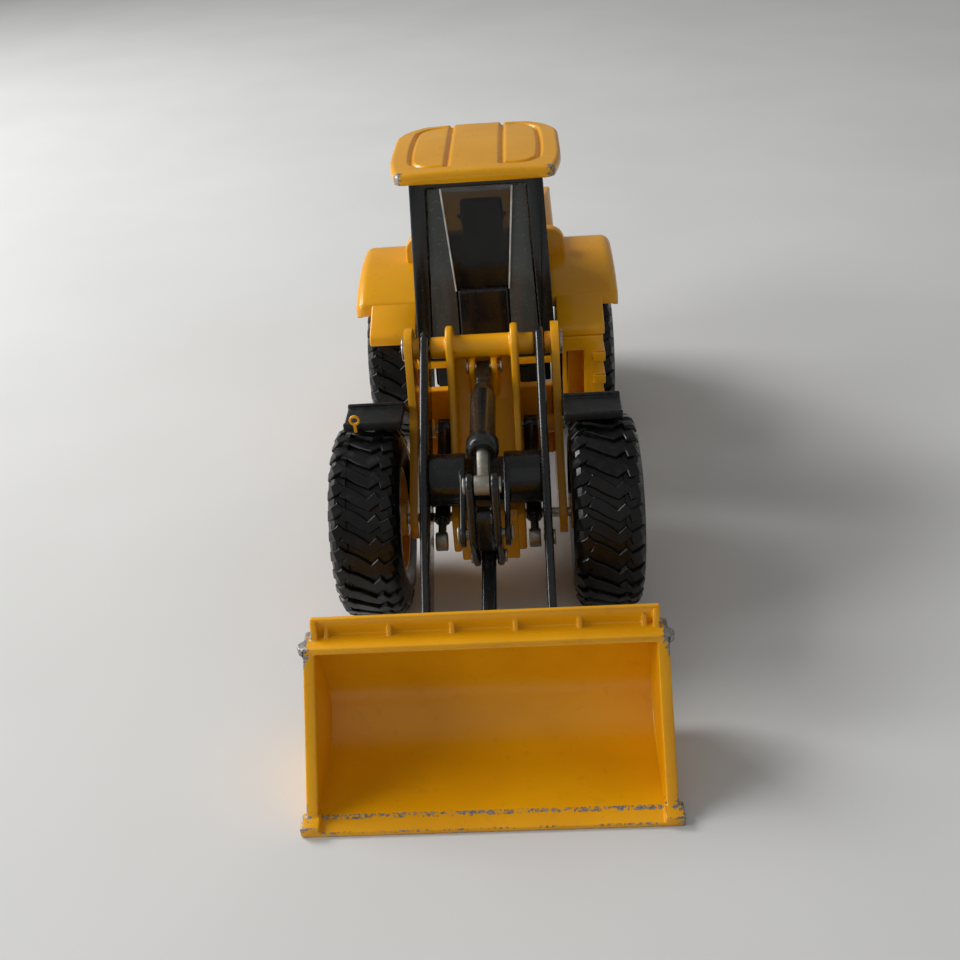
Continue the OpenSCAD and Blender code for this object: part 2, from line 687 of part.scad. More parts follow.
module rear_body() color(cast_yellow) placed() {
    outer = tyre_out + fender_proud;
    cab_half = cab_w / 2 + 0.4;
    step_out = tyre_in + tyre_w * 0.6;
    hood_low = 2 * tyre_r + 2.5;
    // the deck's rear part stays inside the walls beside the cab
    deck_half = cab_half - 1.9;
    union() {
        both_sides() side_plate(cab_half, outer) fender_sheet();
        // skirt along the outer edge of the fender
        both_sides() side_plate(outer - sheet_t, outer) polygon(concat(
            [for (p = fender_line(0)) if (p[1] > fender_top - 10) p],
            [for (i = [len(fender_line(0)) - 1:-1:0]) let (p = fender_line(0)[i])
                if (p[1] > fender_top - 10) [p[0], p[1] - 4]]));
        both_sides() side_plate(cab_half, step_out) platform_sheet();
        // wall beside the cab
        both_sides() side_plate(cab_half, cab_half + cab_side_t)
            polygon([[wheelbase - 36, cab_base_z - sheet_t], [wheelbase - 36, fender_top - 9.5],
                [wheelbase - 20, fender_top - 6], [wheelbase + 8, fender_top - 1], [wheelbase + 8, hood_low],
                [wheelbase - 20, hood_low], [wheelbase - 26, cab_base_z - sheet_t]]);
        // deck under the cab
        translate([-cab_half, cab_front - 0.5, cab_base_z - sheet_t]) cube([2 * cab_half, 12, sheet_t]);
        translate([-deck_half, cab_front + 11, cab_base_z - sheet_t])
            cube([2 * deck_half, cab_rear - cab_front + 9, sheet_t]);
        hood();
    }
}

// Cross-section of the hood with rounded shoulders
function hood_section(half, low, shoulder) = concat(
    [[-half, low]], arc([-half + shoulder, hood_top - shoulder], shoulder, 180, 90, 8),
    arc([half - shoulder, hood_top - shoulder], shoulder, 90, 0, 8), [[half, low]]);

module hood_run(from, to, half, low, shoulder) {
    translate([0, to, 0]) rotate([90, 0, 0]) linear_extrude(height = to - from) polygon(hood_section(half, low, shoulder));
}

// Engine hood, hollow underneath, with a wider bulkhead behind the cab
module hood() {
    hood_half = hood_w / 2;
    low = 2 * tyre_r + 2.5;
    front = cab_rear + 0.6;
    bulkhead_l = 4;
    shoulder = 5;
    room_half = 17;
    room_low = 37;
    // length and angle of the part that falls towards the rear
    fall_l = 22;
    fall_deg = 9;
    fall_start = hood_rear - fall_l;
    ceiling = hood_top - sheet_t;
    tail_ceiling = ceiling - fall_l * tan(fall_deg);
    difference() {
        union() {
            hood_run(front, hood_rear, hood_half, low, shoulder);
            hood_run(front, front + bulkhead_l, hood_half + bulkhead_out, low, shoulder);
            translate([-19, front, 39]) cube([38, hood_rear - front, low - 38.5]);
        }
        // engine room, open to the rear and below
        translate([-room_half, front + sheet_t, room_low])
            cube([2 * room_half, fall_start - front - sheet_t, ceiling - room_low]);
        translate([-room_half, fall_start - 0.1, room_low])
            cube([2 * room_half, fall_l + 1, tail_ceiling - room_low]);
        translate([-hood_half + sheet_t, front + sheet_t, low - 1])
            cube([hood_w - 2 * sheet_t, hood_rear - front, hood_top - shoulder - low]);
        translate([-40, fall_start, hood_top]) rotate([-fall_deg, 0, 0]) cube([80, 40, 12]);
        // side vents
        for (i = [0:4]) translate([-40, wheelbase + 17 + 5.2 * i, low + 3]) cube([80, 2.4, 6]);
    }
}

module access_ladder() color(cast_yellow) placed() {
    y0 = wheelbase - 37;
    y1 = wheelbase - 29.5;
    x0 = cab_w / 2 + 0.4 + cab_side_t + 0.1;
    x1 = tyre_in + tyre_w * 0.72;
    z0 = 24;
    z1 = fender_top - 12;
    difference() {
        union() {
            translate([x0, y0, z0]) cube([x1 - x0, y1 - y0, z1 - z0]);
            for (z = [z0, z0 + 8.5, z0 + 16]) translate([x1 - 3, y0 - 1, z]) cube([3.6, y1 - y0 + 1, 3]);
        }
        // opening for the battery room
        translate([x0 + 1.6, y0 - 2, z0 + 3]) cube([x1 - x0 - 7.4, y1 - y0 + 0.8, z1 - z0 - 7.5]);
        // hollow behind the outer plate
        translate([x1 - 4.6, y0 + 1.4, z0 + 3]) cube([3, y1 - y0 - 2.8, z1 - z0 - 5]);
    }
}

// ---- cab ----------------------------------------------------------------

// Half widths and y values of the cab walls, moved in by a distance
function cab_level(z, inset) = let (t = (z - cab_base_z) / cab_h) [
    cab_w / 2 + (cab_top_w - cab_w) / 2 * t - inset,
    cab_front + 2.5 * t + inset,
    cab_rear - 1.5 * t - inset,
    z];

module cab_shell() color(gloss_black) placed() {
    z0 = cab_base_z;
    z1 = roof_z;
    pillar = 4.4;
    difference() {
        tapered_block(cab_level(z0, 0), cab_level(z1, 0));
        tapered_block(cab_level(z0 + cab_wall, cab_wall), cab_level(z1 + 1, cab_wall));
        // windscreen, rear window and the two side windows
        window_cut(z0 + sill_h, z1 - 3, cab_w / 2 - pillar, cab_top_w / 2 - pillar, cab_front - 5, cab_front + 8);
        window_cut(z0 + 16, z1 - 4, cab_w / 2 - pillar - 1, cab_top_w / 2 - pillar - 1, cab_rear - 8, cab_rear + 5);
        for (y = [[cab_front + 6.5, cab_front + 18.5], [cab_front + 21.5, cab_rear - 4.5]])
            translate([-cab_w, y[0], z0 + 12]) cube([2 * cab_w, y[1] - y[0], z1 - 4 - z0 - 12]);
    }
}

module window_cut(z0, z1, half0, half1, y0, y1) tapered_block([half0, y0, y1, z0], [half1, y0, y1, z1]);

module cab_glazing() color(clear_glass) placed() {
    z0 = cab_base_z + cab_wall + 0.2;
    z1 = roof_z - 0.4;
    inset = cab_wall + 0.05;
    difference() {
        tapered_block(cab_level(z0, inset), cab_level(z1, inset));
        tapered_block(cab_level(z0 - 1, inset + glass_t), cab_level(z1 + 1, inset + glass_t));
        // room for the dashboard
        translate([-dash_half - 0.3, cab_front - 1, z0 - 1]) cube([2 * dash_half + 0.6, 6, dash_h + 1.3]);
    }
}

dash_half = 7.2;
dash_h = 20;
// Height of the wall under the windscreen
sill_h = 3;

module dashboard() color(gloss_black) placed() {
    z0 = cab_base_z + cab_wall;
    y0 = cab_front + 0.6;
    sill = cab_base_z + sill_h + 0.1;
    // front panel with a lower binnacle behind it
    side_plate(-dash_half, dash_half) polygon([[y0 + 1.4, z0], [y0 + 1.4, sill], [y0, sill],
        [y0 + 0.9, z0 + dash_h - 0.6], [y0 + 1.6, z0 + dash_h], [y0 + 3.6, z0 + dash_h - 1.2],
        [y0 + 4.4, z0 + 12], [y0 + 8, z0 + 11], [y0 + 8, z0]]);
    // steering column
    side_plate(-1.2, 1.2) strip([y0 + 6, z0 + 9], 2, column_top, 1.2);
}

column_top = [cab_front + 10.5, cab_base_z + 21];

module steering_wheel() color(gloss_black) placed() {
    tilt = 32;
    translate([0, column_top[0], column_top[1]]) rotate([-tilt, 0, 0]) translate([0, 0, 1.7]) {
        difference() {
            cylinder(h = 1, r = 4.6, center = true);
            cylinder(h = 2, r = 3.7, center = true);
        }
        cylinder(h = 1, r = 1.2, center = true);
        for (a = [30, 150, 270]) rotate([0, 0, a]) translate([0, -0.4, -0.4]) cube([4.2, 0.8, 0.8]);
    }
}

module seat() color(rubber_black) placed() {
    y0 = cab_front + 16;
    z0 = cab_base_z + cab_wall;
    side_plate(-5, 5) polygon([[y0 + 3, z0], [y0 + 1.5, z0 + 11], [y0, z0 + 12], [y0 + 0.4, z0 + 14.6],
        [y0 + 11, z0 + 14], [y0 + 13, z0 + 31], [y0 + 15.6, z0 + 31.4], [y0 + 15, z0 + 11], [y0 + 13, z0]]);
    side_plate(-3.4, 3.4) polygon([[y0 + 13, z0 + 31], [y0 + 13.4, z0 + 37], [y0 + 16, z0 + 37], [y0 + 15.6, z0 + 31]]);
    both_sides() translate([5, y0 + 3, z0]) cube([3, 11, 17.5]);
}

// Plan of the roof: a narrow front, sides that swell and round rear corners
function roof_plan(inset) = let (half = roof_w / 2 - inset, front = cab_top_w / 2 + 3.2 - inset) concat(
    [[-front + 2, roof_front + inset]], [[front - 2, roof_front + inset]],
    [[front, roof_front + 1.6 + inset]], [[half - 1.2, roof_front + 9]], [[half, roof_front + 17]],
    arc([half - 13, roof_front + roof_l - 13 - inset], 13, 0, 90, 8),
    arc([-half + 13, roof_front + roof_l - 13 - inset], 13, 90, 180, 8),
    [[-half, roof_front + 17]], [[-half + 1.2, roof_front + 9]], [[-front, roof_front + 1.6 + inset]]);

module cab_roof() color(cast_yellow) placed() {
    // inset, lower face and thickness of each layer
    layers = [[0.8, 0, 0.8], [0, 0.8, 2.2], [1.2, 3, 0.5], [2.4, 3.5, 0.4]];
    groove_z = roof_z + 3.3;
    difference() {
        for (l = layers) translate([0, 0, roof_z + l[1]]) linear_extrude(height = l[2]) polygon(roof_plan(l[0]));
        // grooves that bound the three panels
        both_sides() translate([6.6, roof_front + 4.2, groove_z]) rotate([0, 0, -4]) cube([1, roof_l, 2]);
        translate([-16, roof_front + 4, groove_z + 0.1]) cube([32, 0.8, 2]);
        both_sides() translate([17, roof_front + 7, groove_z + 0.1]) rotate([0, 0, -5]) cube([0.9, roof_l - 20, 2]);
    }
}

// ---- tail ---------------------------------------------------------------

module radiator_grille() color(guard_grey) placed() {
    low = 2 * tyre_r + 3;
    difference() {
        translate([-20, hood_rear, low]) cube([40, 1.6, hood_top - low - 7]);
        for (i = [0:8]) translate([-18 + 4.1 * i, hood_rear + 0.8, low + 1.2]) cube([2.4, 2, hood_top - low - 9.4]);
    }
}

module counterweight() color(cast_yellow) placed() {
    y1 = wheelbase + rear_overhang;
    half = hood_w / 2;
    low = 2 * tyre_r + 2.5;
    difference() {
        translate([-half, 0, 0]) rotate([90, 0, 90]) linear_extrude(height = 2 * half)
            polygon([[hood_rear - 8, low - 0.2], [hood_rear - 8, 39.2], [hood_rear - 6, 26], [y1 - 4, 22],
                [y1, 27], [y1, low - 4], [y1 - 3, low - 0.2]]);
        // chamfered lower corners and the tow slot
        both_sides() translate([half - 6, wheelbase, 14]) rotate([0, 28, 0]) cube([20, 80, 18]);
        translate([-3, y1 - 6, 20]) cube([6, 8, 8]);
        // room for the tail of the frame and the hood
        translate([-12.3, wheelbase, 16]) cube([24.6, hood_rear - 7.7 - wheelbase, 23.5]);
        translate([-19.3, wheelbase, 38.7]) cube([38.6, hood_rear + 0.3 - wheelbase, 20]);
    }
}

// ---- all pieces ---------------------------------------------------------

front_frame();
front_axle_block();
front_axle();
left_cheek_plate();
right_cheek_plate();
left_mudguard();
right_mudguard();
marker_lamp_ring();
lift_arm_pins();
lift_base_pins();
steering_pin();
front_base_screws();
tilt_base_pin();
tilt_barrel();
tilt_sleeve();
tilt_rod();
left_lift_arm();
right_lift_arm();
torque_tube();
lift_rod_rivets();
bellcrank_pin();
bellcrank();
bellcrank_rivets();
link_pin();
bucket_link();
left_lift_barrel();
right_lift_barrel();
left_lift_rod();
right_lift_rod();
bucket_pins();
bucket();
bucket_link_rivets();
front_left_tyre();
front_right_tyre();
rear_left_tyre();
rear_right_tyre();
front_left_rim();
front_right_rim();
rear_left_rim();
rear_right_rim();
rear_frame();
rear_axle();
rear_base_screws();
rear_body();
access_ladder();
cab_shell();
cab_roof();
cab_glazing();
dashboard();
steering_wheel();
seat();
radiator_grille();
counterweight();
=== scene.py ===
"""Looks of a die-cast toy wheel loader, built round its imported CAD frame."""

import logging
import math
from collections.abc import Callable, Sequence
from dataclasses import dataclass
from enum import Enum

import bpy
from mathutils import Matrix, Vector


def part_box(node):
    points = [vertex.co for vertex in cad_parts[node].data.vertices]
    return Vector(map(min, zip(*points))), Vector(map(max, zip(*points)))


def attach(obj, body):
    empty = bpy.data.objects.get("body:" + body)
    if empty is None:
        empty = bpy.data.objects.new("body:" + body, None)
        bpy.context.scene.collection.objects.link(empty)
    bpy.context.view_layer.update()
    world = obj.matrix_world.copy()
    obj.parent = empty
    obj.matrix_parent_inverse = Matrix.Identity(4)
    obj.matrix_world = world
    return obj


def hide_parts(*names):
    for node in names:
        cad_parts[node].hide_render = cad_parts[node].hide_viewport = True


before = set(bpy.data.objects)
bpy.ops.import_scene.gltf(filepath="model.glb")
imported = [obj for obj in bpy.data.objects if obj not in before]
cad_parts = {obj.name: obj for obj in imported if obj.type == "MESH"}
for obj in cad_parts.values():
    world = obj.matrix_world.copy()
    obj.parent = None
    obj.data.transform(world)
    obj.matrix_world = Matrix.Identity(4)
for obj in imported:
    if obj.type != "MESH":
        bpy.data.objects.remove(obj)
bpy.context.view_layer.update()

LOG = logging.getLogger("loader")
MM = 0.001
RIGHT_ANGLE = math.pi / 2


class Side(Enum):
    """Sides of the machine, as the sign of x."""

    LEFT = 1
    RIGHT = -1

    @property
    def word(self) -> str:
        """Name used in piece names."""
        return self.name.lower()


class Stock(Enum):
    """Primitives that a piece may start from."""

    PLANE = "primitive_plane_add"
    GRID = "primitive_grid_add"


@dataclass(frozen=True)
class Datum:
    """Places read off the CAD frame, in millimetres from the front axle on the ground."""

    axle_y: float
    axle_z: float
    wheelbase: float
    tyre_r: float
    tyre_w: float
    tyre_in: float

    @staticmethod
    def read() -> "Datum":
        """Measures the wheels.

        Returns:
            The places that every sub-assembly is set out from.
        """
        low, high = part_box("front_left_tyre")
        rear_low, rear_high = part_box("rear_left_tyre")
        axle_y = (low.y + high.y) / 2
        return Datum(
            axle_y=axle_y,
            axle_z=(low.z + high.z) / 2 / MM,
            wheelbase=((rear_low.y + rear_high.y) / 2 - axle_y) / MM,
            tyre_r=(high.z - low.z) / 2 / MM,
            tyre_w=(high.x - low.x) / MM,
            tyre_in=low.x / MM,
        )

    def at(self, x: float, y: float, z: float) -> Vector:
        """Turns millimetres from the front axle into a place in the frame.

        Args:
            x: Towards the machine's left.
            y: Towards the rear, from the front axle.
            z: Up, from the ground.

        Returns:
            The place in metres.
        """
        return Vector((x * MM, self.axle_y + y * MM, z * MM))

    def back(self, place: Vector) -> tuple[float, float, float]:
        """Turns a place in the frame into millimetres from the front axle.

        Args:
            place: A place in metres.

        Returns:
            x, y and z in millimetres.
        """
        return place.x / MM, (place.y - self.axle_y) / MM, place.z / MM


DATUM = Datum.read()


# ---- bench: Blender's operators used as hand tools ---------------------------


def clear_bench() -> None:
    """Leaves edit mode and deselects everything."""
    if bpy.context.object and bpy.context.object.mode != "OBJECT":
        bpy.ops.object.mode_set(mode="OBJECT")
    bpy.ops.object.select_all(action="DESELECT")


def hold(piece: bpy.types.Object) -> bpy.types.Object:
    """Selects one object and makes it active.

    Args:
        piece: The object to hold.

    Returns:
        The same object.
    """
    clear_bench()
    piece.select_set(True)
    bpy.context.view_layer.objects.active = piece
    return piece


def open_mesh(piece: bpy.types.Object) -> None:
    """Enters edit mode in vertex mode with all of the mesh selected."""
    hold(piece)
    bpy.ops.object.mode_set(mode="EDIT")
    bpy.ops.mesh.select_mode(type="VERT")
    bpy.ops.mesh.select_all(action="SELECT")


def close_mesh() -> None:
    """Returns to object mode."""
    bpy.ops.object.mode_set(mode="OBJECT")


def pick_edges(piece: bpy.types.Object, test: Callable[[Vector, Vector], bool]) -> int:
    """Enters edit mode with only some edges selected.

    Args:
        piece: The object to work on.
        test: Takes an edge's two ends and says whether to pick it.

    Returns:
        How many edges were picked.
    """
    hold(piece)
    bpy.ops.object.mode_set(mode="EDIT")
    bpy.ops.mesh.select_all(action="DESELECT")
    bpy.ops.mesh.select_mode(type="EDGE")
    close_mesh()
    points = piece.data.vertices
    count = 0
    for edge in piece.data.edges:
        a, b = (points[i].co for i in edge.vertices)
        edge.select = bool(test(a, b))
        count += edge.select
    bpy.ops.object.mode_set(mode="EDIT")
    return count


def pick_rim(piece: bpy.types.Object) -> None:
    """Enters edit mode with only the edges of the mesh's open rim selected."""
    pick_edges(piece, lambda a, b: False)
    bpy.ops.mesh.select_non_manifold(extend=False, use_boundary=True, use_wire=False, use_multi_face=False)


def start(stock: Stock, name: str, **sizes: object) -> bpy.types.Object:
    """Adds a primitive at its size and place.

    Args:
        stock: The primitive.
        name: Name of the new object.
        sizes: The operator's own arguments.

    Returns:
        The new object.
    """
    clear_bench()
    getattr(bpy.ops.mesh, stock.value)(**sizes)
    piece = bpy.context.object
    piece.name = name
    piece.data.name = name
    return piece


def settle(piece: bpy.types.Object) -> bpy.types.Object:
    """Puts an object's place, turn and scale into its mesh.

    Args:
        piece: The object to settle.

    Returns:
        The same object.
    """
    hold(piece)
    bpy.ops.object.transform_apply(location=True, rotation=True, scale=True)
    return piece


def face_outwards(piece: bpy.types.Object, merge: float = 1e-7) -> None:
    """Merges doubles and turns every face outwards.

    Args:
        piece: The object to mend.
        merge: Distance within which points are one, in metres.
    """
    open_mesh(piece)
    bpy.ops.mesh.remove_doubles(threshold=merge)
    bpy.ops.mesh.normals_make_consistent(inside=False)
    close_mesh()


def draw_line(name: str, points: Sequence[Vector]) -> bpy.types.Object:
    """Draws a line by extruding one point from place to place.

    Args:
        name: Name of the new object.
        points: The places, in metres.

    Returns:
        An object whose mesh is the open line.
    """
    piece = start(Stock.PLANE, name, size=MM, location=points[0])
    settle(piece)
    open_mesh(piece)
    bpy.ops.mesh.merge(type="CENTER")
    for a, b in zip(points, points[1:]):
        bpy.ops.mesh.extrude_region_move(TRANSFORM_OT_translate={"value": b - a})
    close_mesh()
    return piece


def draw_plate(name: str, outline: Sequence[Vector], push: Vector) -> bpy.types.Object:
    """Draws a closed outline, fills it and extrudes it.

    Args:
        name: Name of the new object.
        outline: The corners, in metres.
        push: How far the face is extruded.

    Returns:
        A closed solid.
    """
    piece = draw_line(name, outline)
    open_mesh(piece)
    bpy.ops.mesh.edge_face_add()
    bpy.ops.mesh.extrude_region_move(TRANSFORM_OT_translate={"value": push})
    close_mesh()
    face_outwards(piece)
    return piece


def turn_profile(name: str, profile: Sequence[Vector], centre: Vector, steps: int) -> bpy.types.Object:
    """Spins an outline all the way round a wheel axle.

    Args:
        name: Name of the new object.
        profile: The outline's places; it is closed from the last to the first.
        centre: A place on the axle.
        steps: Number of steps in a full turn.

    Returns:
        A closed ring.
    """
    piece = draw_line(name, [*profile, profile[0]])
    open_mesh(piece)
    bpy.ops.mesh.spin(steps=steps, angle=math.tau, center=centre, axis=(1, 0, 0))
    close_mesh()
    face_outwards(piece)
    return piece


def use_modifier(piece: bpy.types.Object, kind: str, **settings: object) -> None:
    """Adds a modifier and applies it.

    Args:
        piece: The object to work on.
        kind: The modifier's type.
        settings: Values of the modifier's properties.
    """
    hold(piece)
    bpy.ops.object.modifier_add(type=kind)
    modifier = piece.modifiers[-1]
    for key, value in settings.items():
        setattr(modifier, key, value)
    bpy.ops.object.modifier_apply(modifier=modifier.name)


def cut_away(piece: bpy.types.Object, tool: bpy.types.Object) -> None:
    """Cuts a tool's shape out of a piece and scraps the tool.

    Args:
        piece: The object to cut.
        tool: The shape to take away.
    """
    use_modifier(piece, "BOOLEAN", object=tool, operation="DIFFERENCE", solver="EXACT")
    scrap(tool)


def scrap(piece: bpy.types.Object) -> None:
    """Removes an object and its mesh."""
    mesh = piece.data
    bpy.data.objects.remove(piece)
    bpy.data.meshes.remove(mesh)


def gather(name: str, pieces: Sequence[bpy.types.Object]) -> bpy.types.Object:
    """Joins objects into one.

    Args:
        name: Name of the result.
        pieces: The objects, of which the first keeps its identity.

    Returns:
        The joined object.
    """
    hold(pieces[0])
    for piece in pieces[1:]:
        piece.select_set(True)
    bpy.ops.object.join()
    pieces[0].name = name
    pieces[0].data.name = name
    return pieces[0]


def copy_of(piece: bpy.types.Object, name: str, move: Matrix) -> bpy.types.Object:
    """Copies a finished piece with its own mesh.

    Args:
        piece: The object to copy.
        name: Name of the copy.
        move: Where the copy goes, applied to its mesh.

    Returns:
        The copy, still at the origin.
    """
    mesh = piece.data.copy()
    mesh.transform(move)
    twin = bpy.data.objects.new(name, mesh)
    mesh.name = name
    bpy.context.scene.collection.objects.link(twin)
    if move.determinant() < 0:
        open_mesh(twin)
        bpy.ops.mesh.flip_normals()
        close_mesh()
    return twin


def from_cad(node: str, name: str) -> bpy.types.Object:
    """Copies a CAD node's mesh, merges it and clears the seams inside its flat faces.

    Args:
        node: Name of the CAD node.
        name: Name of the new piece.

    Returns:
        The new piece.
    """
    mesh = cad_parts[node].data.copy()
    mesh.name = name
    mesh.materials.clear()
    piece = bpy.data.objects.new(name, mesh)
    bpy.context.scene.collection.objects.link(piece)
    open_mesh(piece)
    bpy.ops.mesh.remove_doubles(threshold=2e-6)
    bpy.ops.mesh.customdata_custom_splitnormals_clear()
    bpy.ops.mesh.dissolve_limited(angle_limit=math.radians(1))
    close_mesh()
    return piece


def shape_points(piece: bpy.types.Object, rule: Callable[[Vector], Vector]) -> None:
    """Moves every point of a mesh by a rule.

    Args:
        piece: The object whose mesh is shaped.
        rule: Takes a point's place and gives its new place.
    """
    for point in piece.data.vertices:
        point.co = rule(point.co)
    piece.data.update()


# ---- outlines ----------------------------------------------------------------


def side_view(x: float, outline: Sequence[tuple[float, float]]) -> list[Vector]:
    """Sets a side-view outline, as (y, z) in millimetres, at one x."""
    return [DATUM.at(x, y, z) for y, z in outline]


def arc(
    centre: tuple[float, float], radius: float, start_deg: float, end_deg: float, count: int
) -> list[tuple[float, float]]:
    """Points on an arc.

    Args:
        centre: The arc's centre.
        radius: The arc's radius.
        start_deg: First angle, in degrees.
        end_deg: Last angle, in degrees.
        count: Number of steps.

    Returns:
        count + 1 points.
    """
    turn = [math.radians(start_deg + (end_deg - start_deg) * i / count) for i in range(count + 1)]
    return [(centre[0] + radius * math.cos(a), centre[1] + radius * math.sin(a)) for a in turn]


def blend(a: float, b: float, t: float) -> float:
    """The value a share t of the way from a to b."""
    return a + (b - a) * t


# ---- shader writing ----------------------------------------------------------


@dataclass(frozen=True)
class Wire:
    """A node's output value that can be used in sums."""

    sheet: "NodeSheet"
    socket: bpy.types.NodeSocket

    def _sum(self, operation: str, first: object, second: object) -> "Wire":
        """Adds one Math node."""
        return self.sheet.add("ShaderNodeMath", {"operation": operation}, {0: first, 1: second})

    def __add__(self, other: object) -> "Wire":
        """self + other."""
        return self._sum("ADD", self, other)

    def __radd__(self, other: object) -> "Wire":
        """other + self."""
        return self._sum("ADD", other, self)

    def __sub__(self, other: object) -> "Wire":
        """self - other."""
        return self._sum("SUBTRACT", self, other)

    def __rsub__(self, other: object) -> "Wire":
        """other - self."""
        return self._sum("SUBTRACT", other, self)

    def __mul__(self, other: object) -> "Wire":
        """self * other."""
        return self._sum("MULTIPLY", self, other)

    def __rmul__(self, other: object) -> "Wire":
        """other * self."""
        return self._sum("MULTIPLY", other, self)

    def above(self, level: float, soft: float) -> "Wire":
        """A mask that rises from 0 to 1 round a level.

        Args:
            level: Middle of the rise.
            soft: Half of the rise's width.

        Returns:
            The mask.
        """
        return self.sheet.add(
            "ShaderNodeMapRange",
            {"interpolation_type": "SMOOTHSTEP"},
            {"Value": self, "From Min": level - soft, "From Max": level + soft},
            "Result",
        )

    def most(self, other: object) -> "Wire":
        """The larger of two values."""
        return self._sum("MAXIMUM", self, other)

    def size(self) -> "Wire":
        """The value without its sign."""
        return self.sheet.add("ShaderNodeMath", {"operation": "ABSOLUTE"}, {0: self})


class NodeSheet:
    """The node tree of one material, with its object coordinates."""

    def __init__(self, name: str) -> None:
        """Makes an empty material.

        Args:
            name: The material's name.
        """
        self.material = bpy.data.materials.new(name)
        self.material.use_nodes = True
        self.tree = self.material.node_tree
        self.tree.nodes.clear()
        self.place = self.add("ShaderNodeTexCoord", output="Object")

    def add(
        self, kind: str, settings: dict | None = None, inputs: dict | None = None, output: object = 0
    ) -> Wire:
        """Adds one node.

        Args:
            kind: The node's type.
            settings: Properties that are set before the sockets.
            inputs: Values or wires of its sockets, by name or number.
            output: Name or number of the output that is wanted.

        Returns:
            A wire from that output.
        """
        node = self.tree.nodes.new(kind)
        for key, value in (settings or {}).items():
            if key == "ramp":
                for stop, (place, colour) in enumerate(value):
                    if stop > 1:
                        node.color_ramp.elements.new(place)
                    node.color_ramp.elements[stop].position = place
                    node.color_ramp.elements[stop].color = (*colour, 1)
            else:
                setattr(node, key, value)
        for key, value in (inputs or {}).items():
            if isinstance(value, Wire):
                self.tree.links.new(value.socket, node.inputs[key])
            else:
                node.inputs[key].default_value = value
        return Wire(self, node.outputs[output])

    def noise(self, per_mm: float, detail: float = 3, vector: Wire | None = None) -> Wire:
        """Noise at a real scale.

        Args:
            per_mm: Bumps in a millimetre.
            detail: Octaves of finer noise.
            vector: Coordinates other than the object's own.

        Returns:
            Values round 0.5.
        """
        inputs = {"Vector": vector or self.place, "Scale": per_mm / MM, "Detail": detail, "Roughness": 0.55}
        return self.add("ShaderNodeTexNoise", {"noise_dimensions": "3D"}, inputs, "Fac")

    def axis(self, name: str) -> Wire:
        """The object coordinate X, Y or Z in millimetres."""
        part = self.add("ShaderNodeSeparateXYZ", None, {"Vector": self.place}, name)
        return part * (1 / MM)

    def stretched(self, scale: tuple[float, float, float]) -> Wire:
        """Object coordinates scaled along each axis."""
        return self.add("ShaderNodeMapping", None, {"Vector": self.place, "Scale": scale})

    def mix(self, mask: Wire, first: object, second: object) -> Wire:
        """Mixes two colours by a mask."""
        settings = {"data_type": "RGBA", "clamp_factor": True}
        return self.add("ShaderNodeMix", settings, {0: mask, 6: first, 7: second}, 2)

    def bump(self, height: Wire, depth_mm: float) -> Wire:
        """A bumped normal from a height field of a real depth."""
        inputs = {"Height": height, "Distance": depth_mm * MM, "Strength": 1.0}
        return self.add("ShaderNodeBump", None, inputs, "Normal")

    def finish(self, sockets: dict) -> bpy.types.Material:
        """Ends the tree with one Principled shader.

        Args:
            sockets: Values or wires of the shader's sockets.

        Returns:
            The finished material.
        """
        shader = self.add("ShaderNodeBsdfPrincipled", None, sockets, "BSDF")
        end = self.tree.nodes.new("ShaderNodeOutputMaterial")
        self.tree.links.new(shader.socket, end.inputs["Surface"])
        return self.material


def rgba(red: float, green: float, blue: float) -> tuple[float, float, float, float]:
    """An opaque linear colour."""
    return (red, green, blue, 1.0)


@dataclass(frozen=True)
class Finish:
    """A finish: its record slot and how to make its material."""

    LONGEST_NAME = 60

    slot: str

    def material(self) -> bpy.types.Material:
        """Gives the finish's material, which is made once."""
        name = self.label()
        return bpy.data.materials.get(name) or self.make(name)

    def label(self) -> str:
        """Name of the material, one for each set of values."""
        values = [getattr(self, key) for key in self.__dataclass_fields__]
        words = [str(value).replace(" ", "") for value in values]
        return (type(self).__name__ + "_" + "_".join(words))[: self.LONGEST_NAME]

    def worn(self) -> "Finish":
        """The same finish as it is along edges."""
        return self

    def make(self, name: str) -> bpy.types.Material:
        """Builds the material's nodes."""
        raise NotImplementedError


